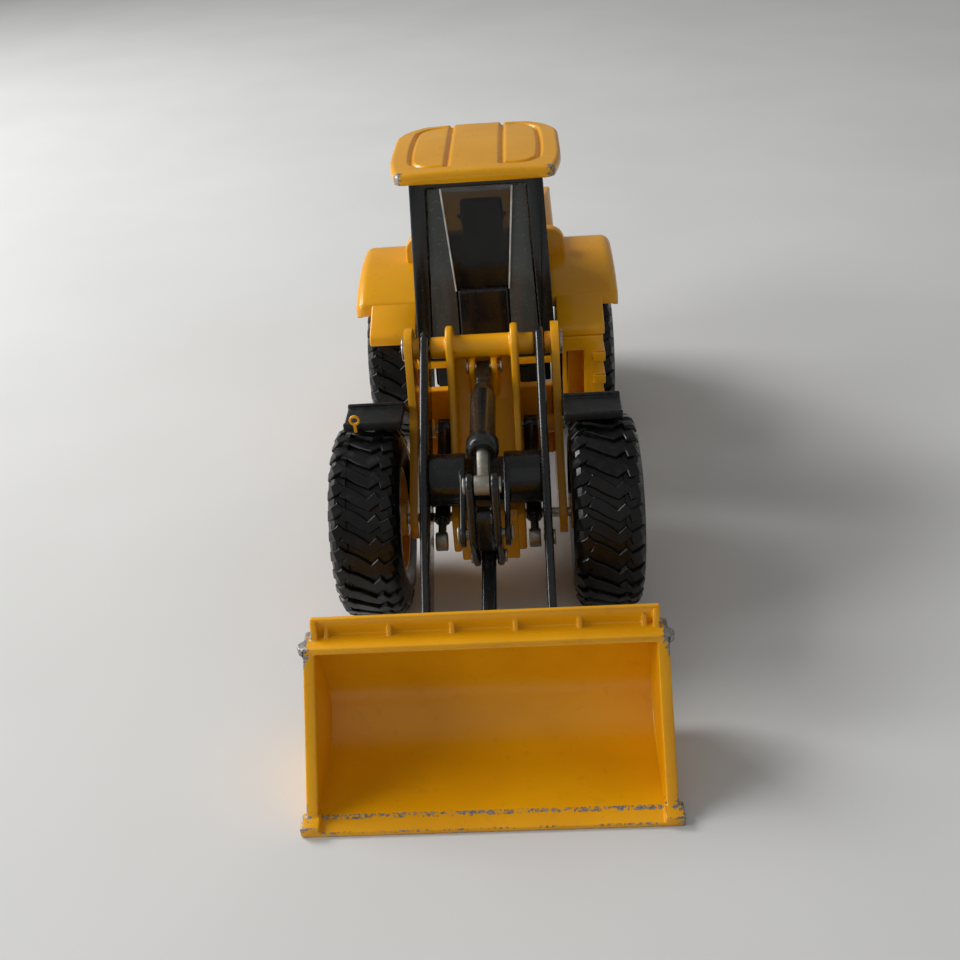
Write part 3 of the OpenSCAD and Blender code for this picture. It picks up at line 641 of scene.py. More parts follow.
@dataclass(frozen=True)
class CastPaint(Finish):
    """Glossy warm yellow paint on zinc, chipped along edges."""

    slot: str = "yellow_paint"
    chips: float = 0.0
    wear_zone: str = "none"

    def worn(self) -> "CastPaint":
        """Edges show more chips."""
        return CastPaint(self.slot, self.chips + 0.12, self.wear_zone)

    def make(self, name: str) -> bpy.types.Material:
        """Builds the paint, the chips and the bare metal in them.

        Args:
            name: The material's name.

        Returns:
            The material.
        """
        sheet = NodeSheet(name)
        cloud = sheet.noise(0.05, 2)
        speck = sheet.noise(1.3, 4)
        blot = sheet.noise(0.16, 2)
        level = 0.79 - self.chips
        chance = speck * 0.72 + blot * 0.28 + WEAR_ZONES[self.wear_zone](sheet)
        chip = chance.above(level, 0.012)
        rim = chance.above(level - 0.02, 0.012) - chip
        tone = sheet.mix(cloud.above(0.5, 0.25), rgba(0.83, 0.385, 0.0015), rgba(0.76, 0.335, 0.001))
        grime = sheet.noise(0.35, 5).above(0.66, 0.08) * 0.18
        tone = sheet.mix(grime, tone, rgba(0.42, 0.17, 0.012))
        tone = sheet.mix(rim * 0.75, tone, rgba(0.16, 0.075, 0.02))
        patches = sheet.noise(2.5, 3).above(0.5, 0.2)
        metal = sheet.mix(patches, rgba(0.16, 0.155, 0.145), rgba(0.42, 0.41, 0.385))
        colour = sheet.mix(chip, tone, metal)
        peel = sheet.noise(0.9, 2) * 0.5 + sheet.noise(4.5, 2) * 0.12 - chip * 1.6
        smear = sheet.noise(0.22, 4)
        return sheet.finish(
            {
                "Base Color": colour,
                "Metallic": chip * 0.85,
                "Roughness": 0.23 + smear * 0.14 + chip * 0.22 + grime * 0.5,
                "Normal": sheet.bump(peel, 0.045),
                "Coat Weight": 0.22 - chip * 0.2,
                "Coat Roughness": 0.12,
                "Specular IOR Level": 0.32,
                "IOR": 1.5,
            }
        )


@dataclass(frozen=True)
class GlossPlastic(Finish):
    """Glossy moulded plastic with fine scratches and rubbed edges."""

    slot: str = "gloss_black"
    colour: tuple[float, float, float] = (0.0085, 0.0095, 0.010)
    rubbed: float = 0.0

    def worn(self) -> "GlossPlastic":
        """Edges are rubbed a little lighter."""
        return GlossPlastic(self.slot, self.colour, 1.0)

    def make(self, name: str) -> bpy.types.Material:
        """Builds the plastic.

        Args:
            name: The material's name.

        Returns:
            The material.
        """
        sheet = NodeSheet(name)
        scratch = sheet.noise(0.9, 3, sheet.stretched((1, 0.16, 3.0))).above(0.68, 0.03)
        dust = sheet.noise(0.8, 5).above(0.64, 0.1)
        light = tuple(min(1.0, c * 2.6 + 0.012) for c in self.colour)
        rub = sheet.noise(0.6, 3).above(0.5, 0.12) * self.rubbed
        tone = sheet.mix((dust * 0.10 + scratch * 0.16 + rub * 0.4), rgba(*self.colour), rgba(*light))
        wave = sheet.noise(0.16, 2) * 0.8 + sheet.noise(2.5, 2) * 0.05 - scratch * 0.12
        return sheet.finish(
            {
                "Base Color": tone,
                "Roughness": 0.16 + dust * 0.13 + scratch * 0.2 + sheet.noise(0.2, 3) * 0.12,
                "Normal": sheet.bump(wave, 0.05),
                "Specular IOR Level": 0.4,
                "IOR": 1.5,
                "Coat Weight": 0.12,
                "Coat Roughness": 0.08,
            }
        )


@dataclass(frozen=True)
class GrainPlastic(Finish):
    """Satin dark moulding with a fine spark-eroded grain."""

    slot: str = "guard_grey"
    colour: tuple[float, float, float] = (0.006, 0.0066, 0.0068)
    rubbed: float = 0.0

    def worn(self) -> "GrainPlastic":
        """Edges are rubbed paler."""
        return GrainPlastic(self.slot, self.colour, 1.0)

    def make(self, name: str) -> bpy.types.Material:
        """Builds the plastic.

        Args:
            name: The material's name.

        Returns:
            The material.
        """
        sheet = NodeSheet(name)
        grain = sheet.noise(6.0, 3)
        dust = sheet.noise(0.5, 5).above(0.58, 0.12)
        light = tuple(c * 2.4 + 0.012 for c in self.colour)
        rub = sheet.noise(0.7, 3).above(0.48, 0.1) * self.rubbed
        tone = sheet.mix(dust * 0.22 + rub * 0.5, rgba(*self.colour), rgba(*light))
        return sheet.finish(
            {
                "Base Color": tone,
                "Roughness": 0.34 + dust * 0.2 + grain * 0.1 - rub * 0.1,
                "Normal": sheet.bump(grain * 0.6 + sheet.noise(0.3, 2) * 0.6, 0.03),
                "Specular IOR Level": 0.3,
                "IOR": 1.48,
            }
        )


@dataclass(frozen=True)
class TyreRubber(Finish):
    """Glossy black soft plastic of toy tyres, with dust in the grooves."""

    slot: str = "tyre_rubber"

    def make(self, name: str) -> bpy.types.Material:
        """Builds the rubber.

        Args:
            name: The material's name.

        Returns:
            The material.
        """
        sheet = NodeSheet(name)
        dust = sheet.noise(0.45, 5).above(0.6, 0.1)
        fleck = sheet.noise(2.2, 3).above(0.77, 0.02)
        tone = sheet.mix(dust * 0.3, rgba(0.0022, 0.0024, 0.0024), rgba(0.010, 0.0098, 0.0092))
        tone = sheet.mix(fleck * 0.3, tone, rgba(0.11, 0.105, 0.095))
        grain = sheet.noise(3.5, 4) * 0.35 + sheet.noise(0.3, 2) * 0.5
        return sheet.finish(
            {
                "Base Color": tone,
                "Roughness": 0.25 + dust * 0.22 + sheet.noise(0.25, 3) * 0.12,
                "Normal": sheet.bump(grain, 0.05),
                "Specular IOR Level": 0.34,
                "IOR": 1.5,
            }
        )


@dataclass(frozen=True)
class BareSteel(Finish):
    """Plated rods and rivet heads, slightly tarnished."""

    slot: str = "bare_steel"
    tarnish: float = 0.35

    def make(self, name: str) -> bpy.types.Material:
        """Builds the metal.

        Args:
            name: The material's name.

        Returns:
            The material.
        """
        sheet = NodeSheet(name)
        line = sheet.noise(3.0, 3, sheet.stretched((1.0, 0.12, 1.0)))
        stain = sheet.noise(0.5, 4).above(0.66 - self.tarnish * 0.35, 0.14)
        tone = sheet.mix(line.above(0.5, 0.25), rgba(0.60, 0.585, 0.545), rgba(0.47, 0.455, 0.42))
        tone = sheet.mix(stain * 0.7, tone, rgba(0.235, 0.21, 0.15))
        return sheet.finish(
            {
                "Base Color": tone,
                "Metallic": 1.0,
                "Roughness": 0.24 + line * 0.14 + stain * 0.22,
                "Normal": sheet.bump(line * 0.35 + stain * 0.25, 0.02),
            }
        )


@dataclass(frozen=True)
class ClearPane(Finish):
    """Clear, slightly smoked plastic."""

    slot: str = "clear_glazing"
    tint: tuple[float, float, float] = (0.014, 0.015, 0.015)
    cover: float = 0.28
    haze: float = 0.06

    def make(self, name: str) -> bpy.types.Material:
        """Builds the pane.

        Args:
            name: The material's name.

        Returns:
            The material.
        """
        sheet = NodeSheet(name)
        smear = sheet.noise(0.18, 4)
        scratch = sheet.noise(0.8, 2, sheet.stretched((1, 1, 0.15))).above(0.72, 0.02)
        return sheet.finish(
            {
                "Base Color": rgba(*self.tint),
                "Roughness": smear * 0.05 + scratch * 0.12 + self.haze,
                "Alpha": smear * 0.08 + scratch * 0.1 + self.cover,
                "IOR": 1.46,
                "Normal": sheet.bump(smear, 0.03),
            }
        )


@dataclass(frozen=True)
class PaneEdge(Finish):
    """Polished cut edge of clear plastic, whose glint is painted in as grey to near-white colour."""

    slot: str = "clear_glazing"

    def make(self, name: str) -> bpy.types.Material:
        """Builds the edge.

        Args:
            name: The material's name.

        Returns:
            The material.
        """
        sheet = NodeSheet(name)
        glint_streak = sheet.noise(0.25, 3, sheet.stretched((1, 1, 0.5)))
        # Painted highlight: streaks of grey to near-white stand for the light caught by the edge.
        tone = sheet.mix(glint_streak.above(0.45, 0.2), rgba(0.42, 0.43, 0.41), rgba(0.90, 0.91, 0.88))
        return sheet.finish({"Base Color": tone, "Roughness": 0.22 + glint_streak * 0.2, "IOR": 1.46})


def no_wear(_: NodeSheet) -> float:
    """No extra wear."""
    return 0.0


def bucket_wear(sheet: NodeSheet) -> Wire:
    """Wear at the bucket's flange ends, along its lip and at the lip's corners.

    Args:
        sheet: The material being built.

    Returns:
        What is added to the chance of a chip.
    """
    low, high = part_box("bucket")
    half = high.x / MM
    top = high.z / MM
    lip = low.y / MM
    across = sheet.axis("X").size()
    along = sheet.axis("Y")
    up = sheet.axis("Z")
    corner = across.above(half - 2.6, 1.4)
    flange_end = corner * up.above(top - 8.0, 2.0) * (1 - up.above(top - 2.2, 0.8)) * 0.42
    lip_corner = corner * (1 - along.above(lip + 5.0, 2.0)) * 0.24
    lip_line = (1 - (along - (lip + 4.4)).size().above(0.75, 0.5)) * (1 - up.above(3.5, 1.0)) * 0.16
    lip_edge = (1 - along.above(lip + 1.2, 0.8)) * 0.1
    return flange_end.most(lip_corner).most(lip_line).most(lip_edge)


def roof_wear(sheet: NodeSheet) -> Wire:
    """Wear along the roof's front edge and at its front corners.

    Args:
        sheet: The material being built.

    Returns:
        What is added to the chance of a chip.
    """
    low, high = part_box("cab_roof")
    front = low.y / MM
    across = sheet.axis("X").size()
    along = sheet.axis("Y")
    line = (1 - (along - (front + 0.75)).size().above(0.3, 0.25)) * 0.17
    corner = across.above(high.x / MM - 4.6, 1.2) * (1 - along.above(front + 3.2, 1.6)) * 0.34
    return corner.most(line)


WEAR_ZONES: dict[str, Callable[[NodeSheet], object]] = {
    "none": no_wear,
    "bucket": bucket_wear,
    "roof": roof_wear,
}

YELLOW = CastPaint()
BUCKET_YELLOW = CastPaint(wear_zone="bucket")
ROOF_YELLOW = CastPaint(wear_zone="roof")
RIM_YELLOW = CastPaint("yellow_plastic")
BLACK = GlossPlastic()
CAB_BLACK = GlossPlastic(colour=(0.0065, 0.0085, 0.0095))
GREY = GrainPlastic()
SEAT_BLACK = GrainPlastic("seat_black", (0.012, 0.012, 0.0125))
RUBBER = TyreRubber()
STEEL = BareSteel()
OLD_STEEL = BareSteel(tarnish=0.75)
PANE = ClearPane(cover=0.12)
SMOKED_PANE = ClearPane(cover=0.42)
SMOKED = GlossPlastic("clear_glazing", (0.062, 0.070, 0.066))
PAINTED_GLINT_EDGE = PaneEdge()


# ---- dressing ----------------------------------------------------------------


def dress(piece: bpy.types.Object, finish: Finish, smooth_deg: float = 35) -> bpy.types.Object:
    """Gives a piece its finish and smooth shading.

    Args:
        piece: The object.
        finish: Its finish; edges take its worn form where a second slot is used.
        smooth_deg: Edges sharper than this stay sharp.

    Returns:
        The same object.
    """
    if not piece.data.materials:
        piece.data.materials.append(finish.material())
    hold(piece)
    bpy.ops.object.shade_smooth_by_angle(angle=math.radians(smooth_deg))
    return piece


def ease_edges(piece: bpy.types.Object, finish: Finish, width: float, steps: int = 2) -> bpy.types.Object:
    """Rounds sharp edges and gives the new faces the worn finish.

    Args:
        piece: The object.
        finish: Its finish.
        width: Width of the rounding, in millimetres.
        steps: Faces across the rounding.

    Returns:
        The same object.
    """
    piece.data.materials.clear()
    piece.data.materials.append(finish.material())
    piece.data.materials.append(finish.worn().material())
    use_modifier(
        piece,
        "BEVEL",
        width=width * MM,
        segments=steps,
        limit_method="ANGLE",
        angle_limit=math.radians(32),
        use_clamp_overlap=False,
        harden_normals=False,
        material=1,
        miter_outer="MITER_ARC",
    )
    return piece


def mount(
    piece: bpy.types.Object, body: str, stands_for: Sequence[str] = ()
) -> bpy.types.Object:
    """Puts a finished piece on its body and reports it.

    Args:
        piece: The object.
        body: The CAD body it rides on.
        stands_for: CAD nodes that it replaces.

    Returns:
        The same object.
    """
    settle(piece)
    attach(piece, body)
    if stands_for:
        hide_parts(*stands_for)
    LOG.info("%s on %s, %d faces", piece.name, body, len(piece.data.polygons))
    return piece


@dataclass(frozen=True)
class CastCopy:
    """A CAD node whose shape is right, given eased edges and a finish."""

    node: str
    body: str
    finish: Finish
    width: float = 0.3
    steps: int = 2
    spike_limit: float = 0.03
    narrowing: float = 0.6

    def build(self) -> bpy.types.Object:
        """Makes the eased copy and mounts it in the node's stead.

        Returns:
            The mounted piece.
        """
        width = self.width
        piece = self.eased(width)
        while self.overshoot(piece) > self.spike_limit and width > self.spike_limit:
            scrap(piece)
            width *= self.narrowing
            piece = self.eased(width)
        dress(piece, self.finish)
        return mount(piece, self.body, [self.node])

    def eased(self, width: float) -> bpy.types.Object:
        """Copies the node and rounds its edges."""
        piece = from_cad(self.node, self.node + "_eased")
        return ease_edges(piece, self.finish, width, self.steps)

    def overshoot(self, piece: bpy.types.Object) -> float:
        """How far a copy sticks out of its node's box, in millimetres, which shows a failed edge."""
        low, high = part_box(self.node)
        places = [point.co for point in piece.data.vertices]
        return max(max(low[i] - place[i], place[i] - high[i]) for place in places for i in range(3)) / MM


# ---- sub-assemblies ----------------------------------------------------------


@dataclass(frozen=True)
class Tread:
    """Tyre with moulded lugs; places across the tread are measured along its crown and shoulder."""

    pitches: int = 28
    lug_height: float = 0.95
    shoulder: float = 3.4
    bead: float = 1.6
    rim_r: float = 14.5
    seam_share: float = 0.2
    steps: int = 112

    @property
    def flat_half(self) -> float:
        """Half of the flat crown."""
        return DATUM.tyre_w / 2 - self.shoulder

    def over_crown(self, across: float, height: float) -> tuple[float, float]:
        """Places a point of the tread.

        Args:
            across: Distance from the middle, along crown and shoulder.
            height: Height over the lug tops, negative below them.

        Returns:
            Offset in x from the tyre's middle, and radius.
        """
        reach = abs(across)
        if reach <= self.flat_half:
            return across, DATUM.tyre_r + height
        turn = (reach - self.flat_half) / self.shoulder
        x = self.flat_half + (self.shoulder + height) * math.sin(turn)
        radius = DATUM.tyre_r - self.shoulder + (self.shoulder + height) * math.cos(turn)
        return math.copysign(x, across), radius

    def place(self, middle_x: float, across: float, along: float, height: float) -> Vector:
        """Places a point of the tread in the frame, on the front axle.

        Args:
            middle_x: x of the tyre's middle.
            across: Distance from the middle, along crown and shoulder.
            along: Distance round the tyre, upwards at its front.
            height: Height over the lug tops.

        Returns:
            The place in metres.
        """
        fade = max(0.0, abs(across) - self.flat_half - 1.4) * 0.2
        x, radius = self.over_crown(across, height - fade)
        turn = along / DATUM.tyre_r
        return DATUM.at(middle_x + x, -radius * math.cos(turn), DATUM.axle_z + radius * math.sin(turn))

    def lug(self, middle_x: float, path: Sequence[tuple[float, float]], half: float) -> bpy.types.Object:
        """Models one lug as a strip along a path with sloping flanks.

        Args:
            middle_x: x of the tyre's middle.
            path: Corners of its middle line, as (across, along).
            half: Half of its width.

        Returns:
            The lug, closed underneath.
        """
        # Inset from the lug's outline and height of each row, from the foot to the top
        rows = [(-0.28, -self.lug_height - 0.25), (0.0, -0.2), (0.22, 0.0)]
        profile = [(-1, i) for i in range(3)] + [(1, i) for i in (2, 1, 0)]
        spots: list[tuple[float, float, int]] = []
        for i, (across, along) in enumerate(path):
            if i == 0:
                spots += [(across, along, 0), (across, along, 1), (across, along, 2)]
            elif i == len(path) - 1:
                spots += [(across, along, 2), (across, along, 1), (across, along, 0)]
            else:
                spots.append((across, along, 2))
        count = len(spots)
        piece = start(Stock.GRID, "lug", x_subdivisions=count - 1, y_subdivisions=5, size=1)
        settle(piece)
        points = piece.data.vertices
        order = sorted(range(len(points)), key=lambda i: (round(points[i].co.x, 4), round(points[i].co.y, 4)))
        for number, index in enumerate(order):
            spot, cross = divmod(number, 6)
            across, along, end_row = spots[spot]
            side, row = profile[cross]
            row = min(row, end_row)
            inset, height = rows[row]
            end_inset = rows[end_row][0]
            ahead = self.path_ahead(path, spot)
            step = (-ahead[1], ahead[0])
            width = (half - inset) * side
            shift = end_inset if spot < 3 else -end_inset if spot >= count - 3 else 0.0
            points[index].co = self.place(
                middle_x,
                across + step[0] * width + ahead[0] * shift,
                along + step[1] * width + ahead[1] * shift,
                height,
            )
        pick_rim(piece)
        bpy.ops.mesh.edge_face_add()
        close_mesh()
        face_outwards(piece)
        return piece

    @staticmethod
    def path_ahead(path: Sequence[tuple[float, float]], spot: int) -> tuple[float, float]:
        """Direction of the path at one of the strip's rows."""
        corner = min(max(spot - 2, 0), len(path) - 1)
        a = path[max(corner - 1, 0)]
        b = path[min(corner + 1, len(path) - 1)]
        span = math.hypot(b[0] - a[0], b[1] - a[1])
        return (b[0] - a[0]) / span, (b[1] - a[1]) / span

    def carcass(self, middle_x: float) -> bpy.types.Object:
        """Spins the tyre's body under the lugs.

        Args:
            middle_x: x of the tyre's middle.

        Returns:
            A closed ring with a stepped sidewall.
        """
        reach = self.flat_half + self.shoulder * math.radians(78)
        count = 12
        crown = [self.over_crown(blend(-reach, reach, i / count), -self.lug_height) for i in range(count + 1)]
        half = DATUM.tyre_w / 2
        wall = [(half - 0.75, 20.4), (half - 0.3, 19.6), (half - 0.2, 17.4)]
        wall += [(half - 0.6, 16.6), (half - 1.1, 15.2), (half - self.bead, self.rim_r + 0.02)]
        profile = crown + wall + [(-x, r) for x, r in reversed(wall)]
        places = [DATUM.at(middle_x + x, 0, DATUM.axle_z + r) for x, r in profile]
        centre = DATUM.at(middle_x, 0, DATUM.axle_z)
        return turn_profile("carcass", places, centre, self.steps)

    def seam(self, middle_x: float, across: float) -> bpy.types.Object:
        """Spins the thin parting line that the mould left round the lugs.

        Args:
            middle_x: x of the tyre's middle.
            across: Where the line runs.

        Returns:
            A thin ring.
        """
        ridge = [(-0.12, -1.4), (0.0, 0.06), (0.12, -1.4)]
        places = []
        for offset, height in ridge:
            x, radius = self.over_crown(across + offset, height)
            places.append(DATUM.at(middle_x + x, 0, DATUM.axle_z + radius))
        centre = DATUM.at(middle_x, 0, DATUM.axle_z)
        return turn_profile("seam", places, centre, self.steps)

    def build(self, side: Side) -> bpy.types.Object:
        """Models one tyre on the front axle.

        Args:
            side: Side of the machine.

        Returns:
            The finished mesh, not yet mounted.
        """
        middle_x = side.value * (DATUM.tyre_in + DATUM.tyre_w / 2)
        edge = self.flat_half + self.shoulder * math.radians(72)
        lugs = [
            self.lug(middle_x, [(-edge, -0.5), (-6.9, 0.1), (-5.2, 1.0), (-4.55, 1.7)], 1.5),
            self.lug(middle_x, [(-4.5, -0.1), (-2.5, -1.0), (-0.2, -2.6), (2.0, -3.9), (4.6, -1.9)], 1.5),
            self.lug(middle_x, [(4.7, 1.5), (6.0, 1.9), (7.4, 2.6), (edge, 3.3)], 1.5),
        ]
        ring = gather("lug_ring", lugs)
        open_mesh(ring)
        centre = DATUM.at(middle_x, 0, DATUM.axle_z)
        for _ in range(self.pitches - 1):
            bpy.ops.mesh.duplicate()
            bpy.ops.transform.rotate(value=math.tau / self.pitches, orient_axis="X", center_override=centre)
        close_mesh()
        seam_at = side.value * DATUM.tyre_w * self.seam_share
        parts = [self.carcass(middle_x), ring, self.seam(middle_x, seam_at)]
        tyre = gather(f"tyre_{side.word}", parts)
        tyre.data.materials.append(RUBBER.material())
        return dress(tyre, RUBBER, 28)


@dataclass(frozen=True)
class Wheels:
    """Four tyres and their rims."""

    tread: Tread = Tread()

    def build(self) -> None:
        """Models a tyre for each side and sets one on each axle."""
        for side in Side:
            front = self.tread.build(side)
            move = Matrix.Translation((0, DATUM.wheelbase * MM, 0))
            rear = copy_of(front, f"rear_{side.word}_tyre_moulding", move)
            front.name = f"front_{side.word}_tyre_moulding"
            for axle, piece in (("front", front), ("rear", rear)):
                wheel = f"{axle}_{side.word}"
                mount(piece, wheel + "_wheel", [wheel + "_tyre"])
                CastCopy(wheel + "_rim", wheel + "_wheel", RIM_YELLOW, 0.3).build()


@dataclass(frozen=True)
class Roof:
    """Pressed roof with three panels between rounded grooves."""

    skirt: float = 2.9
    edge_r: float = 1.3
    groove_half: float = 1.0
    groove_depth: float = 0.95
    panel_x: float = 7.5
    outer_x: float = 17.6
    columns: int = 150
    rows: int = 130

    def half_width(self, y: float, front: float, back: float, half: float) -> float:
        """Half of the roof's width at a place along it.

        Args:
            y: Place along the roof.
            front: The roof's front edge.
            back: The roof's back edge.
            half: Half of its widest part.

        Returns:
            Half of the width there.
        """
        nose = half - 2.5
        swell = blend(nose, half, math.sin(min(1.0, (y - front) / 17.0) * RIGHT_ANGLE))
        corner = 1.6
        ahead = y - front
        if ahead < corner:
            swell -= corner - math.sqrt(max(0.0, corner**2 - (corner - ahead) ** 2))
        tail = 13.0
        behind = y - (back - tail)
        if behind > 0:
            swell -= tail - math.sqrt(max(0.0, tail**2 - behind**2))
        return swell

    def groove_distance(self, x: float, y: float, front: float, back: float) -> float:
        """Distance from a place to the nearest groove line.

        Args:
            x: Place across the roof, made positive.
            y: Place along the roof.
            front: The roof's front edge.
            back: The roof's back edge.

        Returns:
            The distance in millimetres.
        """
        start_y, end_y = front + 5.2, back - 3.6
        radius = 6.2
        straight = math.hypot(x - self.panel_x, max(start_y - y, 0.0))
        side = self.outer_x - 0.9 + 1.4 * math.sin((y - front) / (back - front) * math.pi)
        box_x = max(self.panel_x + 1.2, min(x, side - radius))
        box_y = min(max(y, start_y + radius), end_y - radius)
        loop = abs(math.hypot(x - box_x, y - box_y) - radius) if x > self.panel_x + 0.6 else 9.0
        return min(straight, loop)

    def height(self, x: float, y: float, front: float, back: float, half: float) -> float:
        """How far the roof's surface lies under its crown.

        Args:
            x: Place across the roof, made positive.
            y: Place along the roof.
            front: The roof's front edge.
            back: The roof's back edge.
            half: Half of its widest part.

        Returns:
            A drop in millimetres, 0 or more.
        """
        across = x / half
        along = (y - (front + back) / 2) / (back - front) * 2
        drop = 0.75 * across**2 + 0.55 * along**2
        edge = min(self.half_width(y, front, back, half) - x, y - front, back - y)
        if edge < self.edge_r:
            drop += self.edge_r - math.sqrt(max(0.0, self.edge_r**2 - (self.edge_r - max(edge, 0)) ** 2))
        near = self.groove_distance(x, y, front, back)
        if near < self.groove_half:
            drop += self.groove_depth * (0.5 + 0.5 * math.cos(near / self.groove_half * math.pi))
        return drop

    def build(self) -> None:
        """Shapes the top from a grid, pulls the skirt down and closes the underside."""
        low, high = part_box("cab_roof")
        half, front, base = DATUM.back(Vector((high.x, low.y, low.z)))
        back, top = DATUM.back(high)[1:]
        cells = {"x_subdivisions": self.columns, "y_subdivisions": self.rows}
        piece = start(Stock.GRID, "roof_pressing", size=2, **cells)
        settle(piece)

        def press(spot: Vector) -> Vector:
            """Moves one grid point to its place on the roof."""
            y = blend(front, back, 0.5 + 0.5 * math.sin(spot.y * RIGHT_ANGLE))
            x = math.sin(spot.x * RIGHT_ANGLE) * self.half_width(y, front, back, half)
            return DATUM.at(x, y, top - self.height(abs(x), y, front, back, half))

        shape_points(piece, press)
        pick_rim(piece)
        bpy.ops.mesh.extrude_region_move(TRANSFORM_OT_translate={"value": (0, 0, -self.skirt * MM * 0.4)})
        bpy.ops.mesh.extrude_region_move()
        middle = DATUM.at(0, (front + back) / 2, top)
        bpy.ops.transform.resize(value=(0.975, 0.975, 1), center_override=middle)
        bpy.ops.transform.translate(value=(0, 0, -self.skirt * MM * 0.3))
        bpy.ops.mesh.edge_face_add()
        close_mesh()
        floor_z = base * MM
        shape_points(piece, lambda spot: Vector((spot.x, spot.y, max(spot.z, floor_z))))
        face_outwards(piece, 1e-6)
        dress(piece, ROOF_YELLOW, 50)
        mount(piece, "rear_chassis", ["cab_roof"])


@dataclass(frozen=True)
class Cab:
    """Cab walls, glazing, controls and seat."""

    pane_top_half: float = 9.6
    pane_low_half: float = 7.4
    pane_t: float = 0.55
    facet_t: float = 0.4
    rail: float = 3.3
    seat_half: float = 6.4

    def front_at(self, z: float, proud: float) -> float:
        """y of the windscreen's outer face at a height.

        Args:
            z: Height above the ground.
            proud: Distance in front of the cab wall's inner side.

        Returns:
            y in millimetres.
        """
        low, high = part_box("cab_shell")
        base_y, base_z = DATUM.back(low)[1:]
        share = (z - base_z) / ((high.z - low.z) / MM)
        return base_y + 2.5 * share + 1.6 - proud

    def pane(
        self, name: str, corners: Sequence[tuple[float, float]], proud: float, thick: float
    ) -> bpy.types.Object:
        """Models one flat pane of the windscreen.

        Args:
            name: Name of the piece.
            corners: Its outline, as (x, z).
            proud: How far its front stands out of the wall's inner side.
            thick: Its thickness.

        Returns:
            The pane as a closed solid.
        """
        outline = [DATUM.at(x, self.front_at(z, proud), z) for x, z in corners]
        return draw_plate(name, outline, Vector((0, thick * MM, 0)))

    def seat(self) -> None:
        """Widens the seat's back and headrest into one broad shell and rounds it."""
        low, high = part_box("seat")
        start_z = blend(low.z, high.z, 0.5)
        piece = from_cad("seat", "seat_shell")

        def widen(spot: Vector) -> Vector:
            """Moves one point out to the shell's half width."""
            if spot.z < start_z or abs(spot.x) < MM:
                return spot
            return Vector((math.copysign(self.seat_half * MM, spot.x), spot.y, spot.z))

        shape_points(piece, widen)
        ease_edges(piece, SEAT_BLACK, 1.2, 4)
        dress(piece, SEAT_BLACK)
        mount(piece, "rear_chassis", ["seat"])

    def windscreen(self) -> None:
        """Models the centre pane, the two darker side facets and the thin ridges between them, coloured with
        a painted highlight.
        """
        low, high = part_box("cab_shell")
        top = DATUM.back(high)[2] - self.rail
        low_z = DATUM.back(low)[2] + self.rail
        dash_top = DATUM.back(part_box("dashboard")[1])[2]
        cab_half = DATUM.back(high)[0]
        centre = [(-self.pane_low_half, dash_top - 1), (self.pane_low_half, dash_top - 1)]
        centre += [(self.pane_top_half, top), (-self.pane_top_half, top)]
        pane = self.pane("windscreen_centre", centre, 1.0, self.pane_t)
        mount(dress(pane, PANE), "rear_chassis")
        for side in Side:
            s = side.value
            wall = (cab_half - 4.7, cab_half - 7.0)
            corner = arc((wall[0] - 3.2, low_z + 3.2), 3.0, -90, 0, 6)
            outline = [(s * 7.6, low_z), *[(s * x, z) for x, z in corner]]
            outline += [(s * (wall[1] - 0.1), top), (s * (self.pane_top_half + 0.35), top)]
            outline += [(s * (self.pane_low_half + 0.35), dash_top - 1), (s * 7.6, dash_top - 1.2)]
            facet = self.pane(f"windscreen_{side.word}_facet", outline, 0.8, self.facet_t)
            ease_edges(facet, SMOKED, 0.15)
            mount(dress(facet, SMOKED), "rear_chassis")
            # Ridge along each facet edge, whose glint is a painted highlight in near-white colour.
            line = [(s * self.pane_low_half, dash_top - 1), (s * (self.pane_low_half + 0.4), dash_top - 1)]
            line += [(s * (self.pane_top_half + 0.5), top), (s * self.pane_top_half, top)]
            ridge = self.pane(f"windscreen_{side.word}_ridge", line, 1.2, 0.7)
            ease_edges(ridge, PAINTED_GLINT_EDGE, 0.12)
            mount(dress(ridge, PAINTED_GLINT_EDGE), "rear_chassis")

    def build(self) -> None:
        """Builds the cab from the outside in."""
        CastCopy("cab_shell", "rear_chassis", CAB_BLACK, 0.55, 3).build()
        CastCopy("dashboard", "rear_chassis", CAB_BLACK, 0.6, 3).build()
        CastCopy("steering_wheel", "rear_chassis", CAB_BLACK, 0.2).build()
        self.seat()
        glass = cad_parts["cab_glazing"]
        glass.data.materials.clear()
        glass.data.materials.append(SMOKED_PANE.material())
        self.windscreen()


